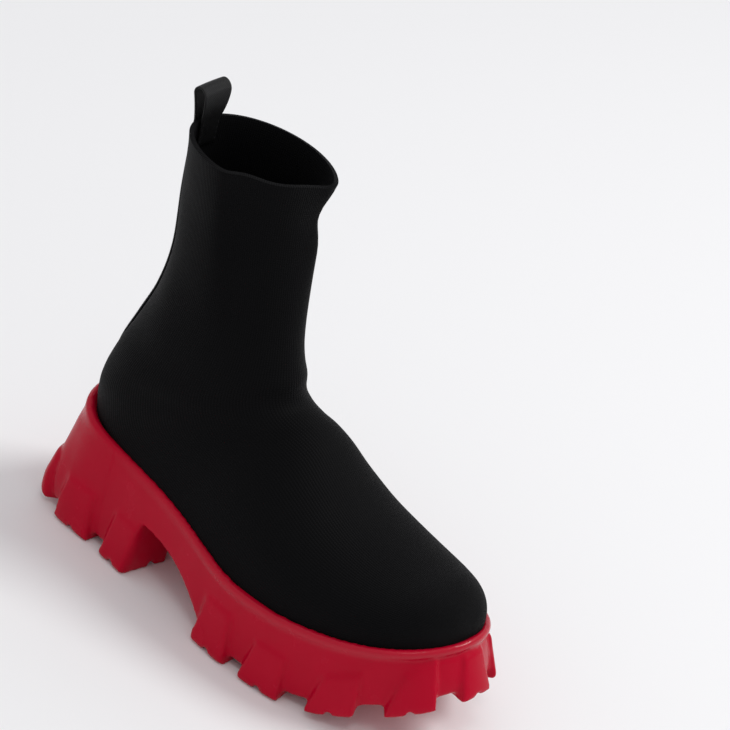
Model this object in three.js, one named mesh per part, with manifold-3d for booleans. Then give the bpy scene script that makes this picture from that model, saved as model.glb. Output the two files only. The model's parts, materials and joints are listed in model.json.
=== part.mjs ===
// A platform ankle boot for the right foot: a knitted sock upper on a moulded platform sole.
// Millimetres. +X points to the toe, +Y to the wearer's left, +Z up, and the floor is Z = 0.
import * as THREE from 'three';
import { mergeVertices } from 'three/addons/utils/BufferGeometryUtils.js';
import Module from 'manifold-3d';

const wasm = await Module();
wasm.setup();

// Sole, in plan
const SOLE_LENGTH = 285;
const HEEL_SETBACK = 10.5;
const TOE_SETBACK = 16;
const BALL_WIDTH = 100;
const FLARE = 10;

// Sole, from the side
const HEEL_RIM = 68.5;
const BALL_RIM = 45.5;
const TOE_RIM = 63.5;
const TOE_SPRING = 36.5;
const SPRING_LENGTH = 82;
const SPRING_CURVE = 1.45;
const HEEL_LIFT = 8;
const HEEL_LIFT_LENGTH = 21;
const BREAST = 82;
const ARCH_LENGTH = 61;
const ARCH_HEIGHT = 32.5;
const ARCH_DROP_SHARE = 0.9;
const ARCH_CURVE = 2.5;
const SEAT_DEPTH = 9;

// Bead and cove along the sole's top edge
const BEAD_HEIGHT = 5.5;
const BEAD_OUT = 3.8;
const COVE_OUT = 2.4;
const COVE_DROP_SHARE = 1.25;

// Lugs
const TREAD_DEPTH = 5.5;
const LUG_HEIGHT = 30;
const LUG_DEPTH = 20;
const LUG_PROUD = 5.4;
const LUG_TOP_PROUD = 1.8;
const LUG_CHAMFER = 2;
const NOTCH_WIDTH = 3.6;
const NOTCH_DEPTH = 3.2;
const BREAST_GROOVE = 28;

// Upper
const WALL = 2.5;
const SHAFT_HEIGHT = 176;
const COLLAR_WIDTH = 69;
const INSTEP = 70;
const UPPER_SINK = 16;
const BULGE_RISE = 6;

// The flattest slope and the furthest place along the rim that a section is measured at
const LEAST_SLOPE = 0.3;
const LAST_ALONG = 0.9995;

// Insole, and the webbing that runs up the back and folds into the pull loop
const INSOLE = 3.2;
const TAPE_WIDTH = 19;
const TAPE = 1.2;
const TAPE_EDGE = 0.4;
const LOOP_HEIGHT = 22;
const LOOP_DEPTH = 9;
const LOOP_LEAN = 3;
const LOOP_FLATTEN = 0.85;
const LOOP_TAIL = 14;

// Gap between pieces that touch, and how far the cuts reach past what they cut
const GAP = 0.3;
const REACH = 10;

const RIM_LENGTH = SOLE_LENGTH - HEEL_SETBACK - TOE_SETBACK;

// Rim line in plan. Along is a share of the rim's length; full swells an ellipse of the ball's
// width; centre (share of the ball's width) bends it to the left; flare is a share of FLARE;
// bead is how far the bead has grown out of the wall, from none at the heel to all at the toe.
const PLAN = [
  { along: 0.000, full: 1.36, centre: 0.000, flare: 0.75, bead: 0.0 },
  { along: 0.012, full: 1.34, centre: 0.000, flare: 1.05, bead: 0.0 },
  { along: 0.030, full: 1.30, centre: 0.000, flare: 1.58, bead: 0.0 },
  { along: 0.060, full: 1.22, centre: 0.000, flare: 1.08, bead: 0.0 },
  { along: 0.120, full: 1.06, centre: 0.000, flare: 0.58, bead: 0.0 },
  { along: 0.190, full: 0.90, centre: -0.005, flare: 0.62, bead: 0.05 },
  { along: 0.290, full: 0.82, centre: -0.022, flare: 0.58, bead: 0.15 },
  { along: 0.380, full: 0.80, centre: -0.050, flare: 0.34, bead: 0.3 },
  { along: 0.480, full: 0.86, centre: -0.060, flare: 0.24, bead: 0.5 },
  { along: 0.580, full: 0.96, centre: -0.050, flare: 0.24, bead: 0.75 },
  { along: 0.670, full: 1.065, centre: -0.023, flare: 0.24, bead: 0.9 },
  { along: 0.750, full: 1.145, centre: -0.003, flare: 0.24, bead: 1.0 },
  { along: 0.850, full: 1.225, centre: 0.008, flare: 0.30, bead: 1.0 },
  { along: 0.910, full: 1.270, centre: 0.013, flare: 0.44, bead: 1.0 },
  { along: 0.960, full: 1.310, centre: 0.018, flare: 0.80, bead: 1.0 },
  { along: 1.000, full: 1.370, centre: 0.022, flare: 0.98, bead: 1.0 },
];

// Rim height. Along is a share of the sole's length; heel and toe are shares of what the rim
// rises from the ball to the heel and from the ball to the toe.
const RIM = [
  { along: 0.037, heel: 1.00, toe: 0 },
  { along: 0.12, heel: 0.83, toe: 0 },
  { along: 0.21, heel: 0.67, toe: 0 },
  { along: 0.30, heel: 0.575, toe: 0 },
  { along: 0.38, heel: 0.46, toe: 0 },
  { along: 0.455, heel: 0.26, toe: 0 },
  { along: 0.51, heel: 0.08, toe: 0 },
  { along: 0.565, heel: 0, toe: 0 },
  { along: 0.65, heel: 0, toe: 0.01 },
  { along: 0.735, heel: 0, toe: 0.15 },
  { along: 0.82, heel: 0, toe: 0.38 },
  { along: 0.885, heel: 0, toe: 0.64 },
  { along: 0.92, heel: 0, toe: 0.82 },
  { along: 0.95, heel: 0, toe: 1.00 },
];

// The wall's profile below the bead. Rise is a share of the wall's height, spread of its flare.
const WALL_PROFILE = [
  { rise: 0.00, spread: 1.00 },
  { rise: 0.30, spread: 0.80 },
  { rise: 0.62, spread: 0.46 },
  { rise: 0.86, spread: 0.20 },
];

// The bead's profile. Drop is a share of the bead's height. Out is a share of BEAD_OUT, and
// flush the same where the bead hasn't grown out of the wall yet.
const BEAD_PROFILE = [
  { drop: 1.00, out: 0.68, flush: 0.98 },
  { drop: 0.55, out: 1.00, flush: 0.98 },
  { drop: 0.18, out: 0.86, flush: 0.92 },
  { drop: 0.00, out: 0.48, flush: 0.60 },
];

// Lugs on each side, from the heel to the toe. From and to are shares of the rim's length;
// back and front are how far the top edge draws in, as shares of the lug's own length; depth
// and tall are shares of LUG_DEPTH and LUG_HEIGHT.
const SIDE_LUGS = [
  { from: 0.008, to: 0.041, back: 0.10, front: 0.10, depth: 0.8, tall: 1.0 },
  { from: 0.064, to: 0.146, back: 0.10, front: 0.12, depth: 1.0, tall: 1.0 },
  { from: 0.192, to: 0.2755, back: 0.16, front: 0.0, depth: 1.35, tall: 1.0 },
  { from: 0.504, to: 0.603, back: 0.10, front: 0.16, depth: 1.0, tall: 1.0 },
  { from: 0.642, to: 0.742, back: 0.18, front: 0.10, depth: 1.0, tall: 0.9 },
  { from: 0.798, to: 0.888, back: 0.20, front: 0.08, depth: 1.0, tall: 0.88 },
  { from: 0.929, to: 0.982, back: 0.22, front: 0.10, depth: 0.9, tall: 0.88 },
];
const TOE_LUG = { from: 0.9962, draw: 0.10, depth: 0.9, tall: 0.8 };

// Shaft and heel sections from the collar down. Back and front are places along the sole,
// low and high the heights of those two ends above the heel's rim (shares of the shaft's
// height), width a share of the collar's, widest where along the section it is widest.
const SHAFT_SECTIONS = [
  { back: 0.1070, low: 1.000, front: 0.4055, high: 0.966, width: 1.00, widest: 0.50, round: 2.0, crown: 2.0 },
  { back: 0.1075, low: 0.795, front: 0.4075, high: 0.770, width: 0.82, widest: 0.50, round: 2.0, crown: 2.0 },
  { back: 0.1150, low: 0.600, front: 0.4175, high: 0.590, width: 0.77, widest: 0.50, round: 2.0, crown: 2.0 },
  { back: 0.1025, low: 0.450, front: 0.4275, high: 0.485, width: 0.79, widest: 0.48, round: 2.1, crown: 2.0 },
  { back: 0.0745, low: 0.320, front: 0.4390, high: 0.426, width: 0.87, widest: 0.44, round: 2.2, crown: 2.0 },
  { back: 0.0470, low: 0.197, front: 0.4480, high: 0.380, width: 0.96, widest: 0.38, round: 2.3, crown: 2.1 },
  { back: 0.0360, low: 0.085, front: 0.4560, high: 0.340, width: 1.03, widest: 0.33, round: 2.4, crown: 2.1 },
];

// Foot sections from the heel to the toe. Base and crest are the places of the bottom and the
// ridge; sink is a share of UPPER_SINK below the rim, rise a share of INSTEP above it; width
// swells the rim's own width; lean bends the ridge, above the rim, to the left (share of the
// ball's width).
const FOOT_SECTIONS = [
  { base: 0.0380, sink: 0.12, crest: 0.4700, rise: 1.045, width: 1.03, round: 2.5, crown: 2.2, lean: 0.010 },
  { base: 0.0860, sink: 1.00, crest: 0.4950, rise: 1.035, width: 1.02, round: 3.0, crown: 2.25, lean: 0.020 },
  { base: 0.2100, sink: 1.00, crest: 0.5230, rise: 1.010, width: 1.02, round: 3.6, crown: 2.30, lean: 0.030 },
  { base: 0.3330, sink: 1.00, crest: 0.5575, rise: 0.945, width: 1.02, round: 4.0, crown: 2.35, lean: 0.038 },
  { base: 0.4390, sink: 1.00, crest: 0.5955, rise: 0.820, width: 1.01, round: 4.0, crown: 2.35, lean: 0.042 },
  { base: 0.5440, sink: 1.00, crest: 0.6400, rise: 0.698, width: 1.00, round: 4.0, crown: 2.30, lean: 0.045 },
  { base: 0.6320, sink: 1.00, crest: 0.6920, rise: 0.576, width: 1.00, round: 4.0, crown: 2.20, lean: 0.043 },
  { base: 0.7190, sink: 1.00, crest: 0.7510, rise: 0.476, width: 1.00, round: 4.0, crown: 2.10, lean: 0.036 },
  { base: 0.8000, sink: 1.00, crest: 0.8105, rise: 0.400, width: 1.00, round: 4.0, crown: 2.10, lean: 0.029 },
  { base: 0.8620, sink: 1.00, crest: 0.8665, rise: 0.345, width: 1.00, round: 4.0, crown: 2.15, lean: 0.023 },
  { base: 0.9000, sink: 0.80, crest: 0.9010, rise: 0.275, width: 1.00, round: 3.6, crown: 2.15, lean: 0.021 },
  { base: 0.9240, sink: 0.60, crest: 0.9250, rise: 0.170, width: 1.00, round: 3.0, crown: 2.15, lean: 0.021 },
  { base: 0.9420, sink: 0.22, crest: 0.9430, rise: 0.020, width: 1.00, round: 2.2, crown: 2.0, lean: 0.021 },
];

// How finely the curved pieces are cut into flat faces
const PLAN_STEPS = 80;
const SECTION_STEPS = 2;
const ROUND_STEPS = 7;
const CROWN_STEPS = 10;
const ARCH_STEPS = 12;
const TURN_STEP = 0.02;
const LUG_STEPS = 4;
const TAPE_COLUMNS = 4;
const LOOP_STEPS = 8;

// A smooth curve through one column of a table
function through(table, place, column) {
  const xs = table.map((row) => row[place]);
  const ys = table.map((row) => row[column]);
  const last = xs.length - 1;
  const slope = (i) => {
    const a = Math.max(i - 1, 0);
    const b = Math.min(i + 1, last);
    return (ys[b] - ys[a]) / (xs[b] - xs[a]);
  };
  return (x) => {
    if (x <= xs[0]) return ys[0];
    if (x >= xs[last]) return ys[last];
    let i = 0;
    while (x > xs[i + 1]) i += 1;
    const step = xs[i + 1] - xs[i];
    const t = (x - xs[i]) / step;
    const bend = t * (1 - t);
    const line = ys[i] + (ys[i + 1] - ys[i]) * t;
    const rise = ys[i + 1] - ys[i];
    const start = slope(i) * step - rise;
    const end = slope(i + 1) * step - rise;
    return line + bend * (start * (1 - t) - end * t);
  };
}

const planFull = through(PLAN, 'along', 'full');
const planCentre = through(PLAN, 'along', 'centre');
const planFlare = through(PLAN, 'along', 'flare');
const planBead = through(PLAN, 'along', 'bead');
const rimHeel = through(RIM, 'along', 'heel');
const rimToe = through(RIM, 'along', 'toe');

const mix = (a, b, t) => a + (b - a) * t;

function rimHeight(x) {
  const along = x / SOLE_LENGTH;
  const heel = (HEEL_RIM - BALL_RIM) * rimHeel(along);
  const toe = (TOE_RIM - BALL_RIM) * rimToe(along);
  return BALL_RIM + heel + toe;
}

const seatHeight = (x) => rimHeight(x) - SEAT_DEPTH;

// The ground line of the lugs, lifted by the toe spring and a little at the heel's back
function treadHeight(x) {
  const toe = Math.max((x - (SOLE_LENGTH - SPRING_LENGTH)) / SPRING_LENGTH, 0);
  const heel = Math.max((HEEL_LIFT_LENGTH - x) / HEEL_LIFT_LENGTH, 0);
  return TOE_SPRING * Math.pow(toe, SPRING_CURVE) + HEEL_LIFT * Math.pow(heel, SPRING_CURVE);
}

const turnAt = (along) => Math.acos(1 - 2 * along);
const alongAt = (turn) => (1 - Math.cos(turn)) / 2;

// Half the upper's width at the rim, at a place along the rim
const rimHalf = (along) => planFull(along) * BALL_WIDTH * Math.sqrt(Math.max(along * (1 - along), 0));

// A point of the rim line. The turn runs once round: heel, right side, toe, left side.
function rimPoint(turn) {
  const along = alongAt(turn);
  const half = rimHalf(along) * Math.sign(Math.sin(turn));
  const y = planCentre(along) * BALL_WIDTH - half;
  return new THREE.Vector2(HEEL_SETBACK + RIM_LENGTH * along, y);
}

function rimNormal(turn) {
  const run = rimPoint(turn + TURN_STEP).sub(rimPoint(turn - TURN_STEP));
  return new THREE.Vector2(run.y, -run.x).normalize();
}

// A plan point moved out from the rim line by a share of the flare and by a plain distance
function spreadPoint(turn, spread, out) {
  const distance = planFlare(alongAt(turn)) * FLARE * spread + out;
  return rimPoint(turn).addScaledVector(rimNormal(turn), distance);
}

// Closes a stack of equal loops into one geometry. Each end is a fan or, where the loop is long
// or bent, a strip between its two sides.
function skin(loops, ends = 'fan') {
  const count = loops[0].length;
  const points = loops.flat();
  const faces = [];
  for (let i = 0; i + 1 < loops.length; i += 1) {
    for (let j = 0; j < count; j += 1) {
      const a = i * count + j;
      const b = i * count + ((j + 1) % count);
      faces.push(a, b, b + count, a, b + count, a + count);
    }
  }
  const close = (loop, first, flip) => {
    const add = (a, b, c) => (flip ? faces.push(a, c, b) : faces.push(a, b, c));
    if (ends === 'strip') {
      const half = count / 2;
      for (let j = 0; j < half; j += 1) {
        const a = first + j;
        const b = first + j + 1;
        const c = first + ((count - j - 1) % count);
        const d = first + ((count - j) % count);
        if (c !== b) add(a, c, b);
        if (d !== a) add(a, d, c);
      }
      return;
    }
    const middle = new THREE.Vector3();
    loop.forEach((point) => middle.addScaledVector(point, 1 / count));
    const hub = points.push(middle) - 1;
    for (let j = 0; j < count; j += 1) add(first + ((j + 1) % count), first + j, hub);
  };
  close(loops[0], 0, false);
  close(loops[loops.length - 1], (loops.length - 1) * count, true);

  const geometry = new THREE.BufferGeometry();
  geometry.setAttribute('position', new THREE.Float32BufferAttribute(points.flatMap((p) => p.toArray()), 3));
  geometry.setIndex(faces);
  if (volumeOf(geometry) < 0) {
    for (let i = 0; i < faces.length; i += 3) [faces[i + 1], faces[i + 2]] = [faces[i + 2], faces[i + 1]];
    geometry.setIndex(faces);
  }
  return geometry;
}

function volumeOf(geometry) {
  const index = geometry.index.array;
  const corner = (i) => new THREE.Vector3().fromBufferAttribute(geometry.attributes.position, index[i]);
  let six = 0;
  for (let i = 0; i < index.length; i += 3) six += corner(i).dot(corner(i + 1).cross(corner(i + 2)));
  return six / 6;
}

function solidFrom(geometry) {
  const bare = geometry.clone();
  bare.deleteAttribute('normal');
  bare.deleteAttribute('uv');
  const merged = mergeVertices(bare, 1e-4);
  const mesh = new wasm.Mesh({
    numProp: 3,
    vertProperties: new Float32Array(merged.attributes.position.array),
    triVerts: new Uint32Array(merged.index.array),
  });
  return new wasm.Manifold(mesh);
}

function geometryFrom(solid) {
  const mesh = solid.getMesh();
  const geometry = new THREE.BufferGeometry();
  geometry.setAttribute('position', new THREE.BufferAttribute(new Float32Array(mesh.vertProperties), 3));
  geometry.setIndex(new THREE.BufferAttribute(new Uint32Array(mesh.triVerts), 1));
  geometry.computeVertexNormals();
  return geometry;
}

// A closed outline in the side view, pushed across the whole width
function sideSlab(outline) {
  const shape = new THREE.Shape(outline.map(([x, z]) => new THREE.Vector2(x, z)));
  const geometry = new THREE.ExtrudeGeometry(shape, { depth: 2 * BALL_WIDTH, bevelEnabled: false });
  geometry.rotateX(Math.PI / 2);
  geometry.translate(0, BALL_WIDTH, 0);
  return solidFrom(geometry);
}

// A side outline between two heights that both follow the seat
function seatSlab(low, high) {
  const stations = RIM.map((row) => row.along * SOLE_LENGTH);
  const finer = stations.flatMap((x, i) => (i === 0 ? [x] : [mix(stations[i - 1], x, 0.5), x]));
  const xs = [-REACH, ...finer, SOLE_LENGTH + REACH];
  const under = xs.map((x) => [x, low === null ? -REACH : seatHeight(x) + low]);
  const over = xs.map((x) => [x, seatHeight(x) + high]).reverse();
  return sideSlab([...under, ...over]);
}

// One row of section values, from either table, in millimetres
function shaftRow(row) {
  return {
    bx: row.back * SOLE_LENGTH,
    bz: HEEL_RIM + row.low * SHAFT_HEIGHT,
    tx: row.front * SOLE_LENGTH,
    tz: HEEL_RIM + row.high * SHAFT_HEIGHT,
    shaft: 1,
    width: row.width,
    widest: row.widest,
    round: row.round,
    crown: row.crown,
    lean: 0,
  };
}

function footRow(row) {
  const bx = row.base * SOLE_LENGTH;
  const tx = row.crest * SOLE_LENGTH;
  return {
    bx,
    bz: rimHeight(bx) - row.sink * UPPER_SINK,
    tx,
    tz: rimHeight(tx) + row.rise * INSTEP,
    shaft: 0,
    width: row.width,
    widest: SHAFT_SECTIONS[SHAFT_SECTIONS.length - 1].widest,
    round: row.round,
    crown: row.crown,
    lean: row.lean * BALL_WIDTH,
  };
}

// All sections, with smooth ones between the rows of the tables
function sectionRows() {
  const rows = [...SHAFT_SECTIONS.map(shaftRow), ...FOOT_SECTIONS.map(footRow)];
  rows.forEach((row, i) => {
    row.order = i;
  });
  const columns = ['bx', 'bz', 'tx', 'tz', 'shaft', 'width', 'widest', 'round', 'crown', 'lean'];
  const curves = columns.map((column) => [column, through(rows, 'order', column)]);
  const sections = [];
  for (let k = 0; k <= (rows.length - 1) * SECTION_STEPS; k += 1) {
    const order = k / SECTION_STEPS;
    const section = Object.fromEntries(curves.map(([column, curve]) => [column, curve(order)]));
    section.shaft = Math.min(Math.max(section.shaft, 0), 1);
    sections.push(section);
  }
  return sections;
}

// What a section needs to be drawn: its direction, length, half width, widest place and rim
function sectionFrame(section) {
  const { bx, bz, tx, tz } = section;
  const length = Math.hypot(tx - bx, tz - bz);
  const ex = (tx - bx) / length;
  const ez = (tz - bz) / length;
  const steep = Math.max(ez, LEAST_SLOPE);
  const toRim = Math.min(UPPER_SINK / steep, length / 2);
  const rimAlong = (bx + ex * toRim - HEEL_SETBACK) / RIM_LENGTH;
  const footHalf = rimHalf(Math.min(Math.max(rimAlong, 0), LAST_ALONG)) * section.width;
  const shaftHalf = (COLLAR_WIDTH / 2) * section.width;
  const half = mix(footHalf, shaftHalf, section.shaft);
  const footWidest = Math.min((UPPER_SINK + BULGE_RISE) / steep, length / 2);
  const widest = mix(footWidest, length * section.widest, section.shaft);
  return { length, ex, ez, half, widest, toRim };
}

// A section's middle follows the rim line up to the rim, then bends to the ridge
function sectionMiddle(section, up) {
  const { length, ex, toRim } = sectionFrame(section);
  const along = (section.bx + ex * Math.min(up, toRim) - HEEL_SETBACK) / RIM_LENGTH;
  const atRim = mix(planCentre(along) * BALL_WIDTH, 0, section.shaft);
  return mix(atRim, section.lean, Math.max(up - toRim, 0) / (length - toRim));
}

// A section's loop of points: up the right side from the bottom, over the ridge, down the left
function sectionLoop(section) {
  const { length, ex, ez, half, widest } = sectionFrame(section);
  const side = [];
  for (let k = 0; k < ROUND_STEPS; k += 1) {
    const angle = (k / ROUND_STEPS) * (Math.PI / 2);
    const up = widest * (1 - Math.pow(Math.cos(angle), 2 / section.round));
    side.push([up, half * Math.pow(Math.sin(angle), 2 / section.round)]);
  }
  for (let k = 0; k <= CROWN_STEPS; k += 1) {
    const angle = (1 - k / CROWN_STEPS) * (Math.PI / 2);
    const up = length - (length - widest) * (1 - Math.pow(Math.cos(angle), 2 / section.crown));
    side.push([up, half * Math.pow(Math.sin(angle), 2 / section.crown)]);
  }
  const place = ([up, out], hand) => {
    const y = sectionMiddle(section, up) + hand * out;
    return new THREE.Vector3(section.bx + ex * up, y, section.bz + ez * up);
  };
  const right = side.map((pair) => place(pair, -1));
  const left = side.slice(1, -1).reverse().map((pair) => place(pair, 1));
  return [...right, ...left];
}

// The last's surface moved along its own normals: out for a clearance, in for the wall
function lastLoops(loops, out) {
  const count = loops[0].length;
  return loops.map((loop, i) => loop.map((point, j) => {
    const before = loops[Math.max(i - 1, 0)][j];
    const after = loops[Math.min(i + 1, loops.length - 1)][j];
    const down = after.clone().sub(before);
    const round = loop[(j + 1) % count].clone().sub(loop[(j + count - 1) % count]);
    const normal = round.cross(down).normalize();
    return point.clone().addScaledVector(normal, -out);
  }));
}

const SECTIONS = sectionRows();
const LAST = SECTIONS.map(sectionLoop);

// The last as a solid, its collar end raised so that it cuts an open top
function lastSolid(out, raise) {
  const loops = lastLoops(LAST, out);
  if (raise > 0) loops.unshift(loops[0].map((point) => point.clone().add(new THREE.Vector3(0, 0, raise))));
  return solidFrom(skin(loops));
}

function makeUpper() {
  const hollow = lastSolid(-WALL, REACH);
  return lastSolid(0, 0).subtract(hollow).subtract(seatSlab(null, GAP));
}

function makeInsole() {
  return lastSolid(-WALL - GAP, 0).intersect(seatSlab(GAP, GAP + INSOLE));
}

const wallSpread = through(WALL_PROFILE, 'rise', 'spread');

// How far a row of the bead's profile stands out, and the cove under it
const beadOut = (turn, row) => BEAD_OUT * mix(row.flush, row.out, planBead(alongAt(turn)));
const coveOut = (turn) => mix(beadOut(turn, BEAD_PROFILE[0]), COVE_OUT, planBead(alongAt(turn)));

// A point of the wall at a height, moved out by a plain distance
function wallPoint(turn, z, out) {
  const foot = treadHeight(spreadPoint(turn, 1, 0).x) + TREAD_DEPTH;
  const head = rimHeight(rimPoint(turn).x) - BEAD_HEIGHT;
  const spread = wallSpread((z - foot) / (head - foot));
  const flat = spreadPoint(turn, spread, coveOut(turn) * (1 - spread) + out);
  return new THREE.Vector3(flat.x, flat.y, z);
}

// The platform's body: tread face, flared wall, cove and bead, before the cuts
function makeBody() {
  const turns = Array.from({ length: PLAN_STEPS }, (_, i) => (i / PLAN_STEPS) * 2 * Math.PI);
  const wall = WALL_PROFILE.map(({ rise }) => turns.map((turn) => {
    const foot = treadHeight(spreadPoint(turn, 1, 0).x) + TREAD_DEPTH;
    const head = rimHeight(rimPoint(turn).x) - BEAD_HEIGHT;
    return wallPoint(turn, mix(foot, head, rise), 0);
  }));
  const rimRing = (drop, outAt) => turns.map((turn) => {
    const flat = spreadPoint(turn, 0, outAt(turn));
    return new THREE.Vector3(flat.x, flat.y, rimHeight(rimPoint(turn).x) - drop * BEAD_HEIGHT);
  });
  const cove = rimRing(COVE_DROP_SHARE, coveOut);
  const bead = BEAD_PROFILE.map((row) => rimRing(row.drop, (turn) => beadOut(turn, row)));
  return solidFrom(skin([...wall, cove, ...bead], 'strip'));
}

// The opening between heel and ball: an upright breast, then a falling curve
function archCutter() {
  const outline = [[BREAST, -REACH]];
  for (let i = 0; i <= ARCH_STEPS; i += 1) {
    const share = i / ARCH_STEPS;
    const fall = ARCH_DROP_SHARE * Math.pow(share, ARCH_CURVE);
    outline.push([BREAST + ARCH_LENGTH * share, ARCH_HEIGHT * (1 - fall)]);
  }
  outline.push([BREAST + ARCH_LENGTH, -REACH]);
  return sideSlab(outline);
}

// A lug: a tread block whose outer face climbs the wall and draws in towards its top
function makeLug(start, end, back, front, { depth, tall }) {
  const span = end - start;
  const loops = [];
  for (let i = 0; i <= LUG_STEPS; i += 1) {
    const low = mix(start, end, i / LUG_STEPS);
    const high = mix(start + back * span, end - front * span, i / LUG_STEPS);
    const ground = treadHeight(spreadPoint(low, 1, 0).x);
    const roof = ground + LUG_HEIGHT * tall;
    const base = (out, z) => {
      const flat = spreadPoint(low, 1, out);
      return new THREE.Vector3(flat.x, flat.y, z);
    };
    loops.push([
      base(-LUG_DEPTH * depth, ground),
      base(LUG_PROUD - LUG_CHAMFER, ground),
      base(LUG_PROUD, ground + LUG_CHAMFER),
      wallPoint(high, roof - LUG_CHAMFER, LUG_TOP_PROUD),
      wallPoint(high, roof, LUG_TOP_PROUD - LUG_CHAMFER),
      wallPoint(high, roof, -LUG_PROUD),
      base(-LUG_DEPTH * depth, ground + TREAD_DEPTH * 2),
    ]);
  }
  return solidFrom(skin(loops));
}

// A small groove across a lug's ground face, square to the sole's edge
function makeNotch(turn) {
  const flat = spreadPoint(turn, 1, 0);
  const normal = rimNormal(turn);
  const ground = treadHeight(flat.x);
  const geometry = new THREE.BoxGeometry(LUG_DEPTH * 4, NOTCH_WIDTH, NOTCH_DEPTH * 2);
  geometry.rotateZ(Math.atan2(normal.y, normal.x));
  geometry.translate(flat.x, flat.y, ground);
  return solidFrom(geometry);
}

// A groove in the heel's ground face, open at the breast
function makeBreastGroove(hand) {
  const geometry = new THREE.BoxGeometry(LUG_DEPTH, NOTCH_WIDTH, NOTCH_DEPTH * 2);
  geometry.translate(BREAST, hand * BREAST_GROOVE, 0);
  return solidFrom(geometry);
}

function makeSole() {
  let sole = makeBody().subtract(archCutter());
  const notches = [];
  for (const lug of SIDE_LUGS) {
    const start = turnAt(lug.from);
    const end = turnAt(lug.to);
    sole = sole.add(makeLug(start, end, lug.back, lug.front, lug));
    sole = sole.add(makeLug(2 * Math.PI - end, 2 * Math.PI - start, lug.front, lug.back, lug));
    const middle = mix(start, end, 0.5);
    notches.push(makeNotch(middle), makeNotch(2 * Math.PI - middle));
  }
  const toe = turnAt(TOE_LUG.from);
  sole = sole.add(makeLug(toe, 2 * Math.PI - toe, TOE_LUG.draw, TOE_LUG.draw, TOE_LUG));
  notches.push(makeNotch(Math.PI), makeBreastGroove(-1), makeBreastGroove(1));
  for (const notch of notches) sole = sole.subtract(notch);
  const recess = lastSolid(GAP, 0).subtract(seatSlab(null, 0));
  return sole.subtract(recess);
}

// How far the back of a section has curved forward at a place across it
function sectionSag(section, y) {
  const { half, widest } = sectionFrame(section);
  const across = Math.min(Math.abs(y) / half, 1);
  return widest * (1 - Math.pow(1 - Math.pow(across, section.round), 1 / section.round));
}

// The sections whose backs the webbing lies on, from the rim up to the collar
function tapeSections() {
  const rimTop = rimHeight(HEEL_SETBACK) + 2 * GAP;
  const sections = [];
  for (let i = 0; SECTIONS[i].bz > rimTop; i += 1) sections.unshift(SECTIONS[i]);
  const above = sections[0];
  const below = SECTIONS[sections.length];
  const share = (rimTop - above.bz) / (below.bz - above.bz);
  const keys = Object.keys(above);
  sections.unshift(Object.fromEntries(keys.map((key) => [key, mix(above[key], below[key], share)])));
  return sections;
}

// The loop's line in the side view: up from the collar's back, over, and down inside it.
// Each station is a place, the direction out of the webbing's outer face, and its share of
// the collar's curve.
function loopStations(collar) {
  const reach = LOOP_DEPTH / 2 - TAPE - GAP;
  const outside = collar.bx;
  const inside = collar.bx + WALL + 2 * GAP;
  const middle = (outside + inside) / 2;
  const crown = LOOP_HEIGHT - reach - TAPE - GAP;
  const stations = [];
  for (const share of [1 / 3, 2 / 3]) {
    stations.push({ x: mix(outside, middle - reach, share), rise: crown * share, angle: Math.PI });
  }
  for (let i = 0; i <= LOOP_STEPS; i += 1) {
    const angle = Math.PI * (1 - i / LOOP_STEPS);
    stations.push({ x: middle + reach * Math.cos(angle), rise: crown + reach * Math.sin(angle), angle });
  }
  for (const share of [2 / 3, 1 / 3, 0]) {
    stations.push({ x: mix(inside, middle + reach, share), rise: crown * share, angle: 0 });
  }
  stations.push({ x: inside, rise: -LOOP_TAIL / 2, angle: 0 });
  stations.push({ x: inside, rise: -LOOP_TAIL, angle: 0 });
  return stations.map(({ x, rise, angle }) => {
    const height = Math.max(rise, 0) / LOOP_HEIGHT;
    return {
      x: x + LOOP_LEAN * height * height,
      z: collar.bz + rise,
      nx: Math.cos(angle),
      nz: Math.sin(angle),
      curve: 1 - LOOP_FLATTEN * height,
    };
  });
}

// One band of webbing: up the back of the upper, over as the pull loop, and down inside
function makeTape() {
  const flat = TAPE_WIDTH - 2 * TAPE_EDGE;
  const columns = Array.from({ length: TAPE_COLUMNS + 1 }, (_, i) => (i / TAPE_COLUMNS - 0.5) * flat);
  const sections = tapeSections();
  const collar = SECTIONS[0];
  const loops = [];
  const addStation = (place, nx, nz) => {
    const point = (y, out) => place(y).add(new THREE.Vector3(nx * out, 0, nz * out));
    const face = (out) => columns.map((y) => point(y, out));
    const edge = (hand) => point(hand * TAPE_WIDTH / 2, GAP + TAPE / 2);
    loops.push([edge(-1), ...face(GAP), edge(1), ...face(GAP + TAPE).reverse()]);
  };
  sections.forEach((section, i) => {
    const under = sections[Math.max(i - 1, 0)];
    const over = sections[Math.min(i + 1, sections.length - 1)];
    const run = new THREE.Vector2(over.bx - under.bx, over.bz - under.bz).normalize();
    const { ex, ez } = sectionFrame(section);
    const place = (y) => {
      const sag = sectionSag(section, y);
      return new THREE.Vector3(section.bx + ex * sag, y, section.bz + ez * sag);
    };
    addStation(place, -run.y, run.x);
  });
  for (const { x, z, nx, nz, curve } of loopStations(collar)) {
    const place = (y) => new THREE.Vector3(x + curve * sectionSag(collar, y), y, z);
    addStation(place, nx, nz);
  }
  return solidFrom(skin(loops, 'strip'));
}

const MATERIALS = {
  knit: new THREE.MeshStandardMaterial({ color: 0x0c0b0d, roughness: 0.95, metalness: 0 }),
  rubber: new THREE.MeshStandardMaterial({ color: 0xb5061f, roughness: 0.5, metalness: 0 }),
  board: new THREE.MeshStandardMaterial({ color: 0x121113, roughness: 0.9, metalness: 0 }),
  webbing: new THREE.MeshStandardMaterial({ color: 0x151417, roughness: 0.75, metalness: 0 }),
};

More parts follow.
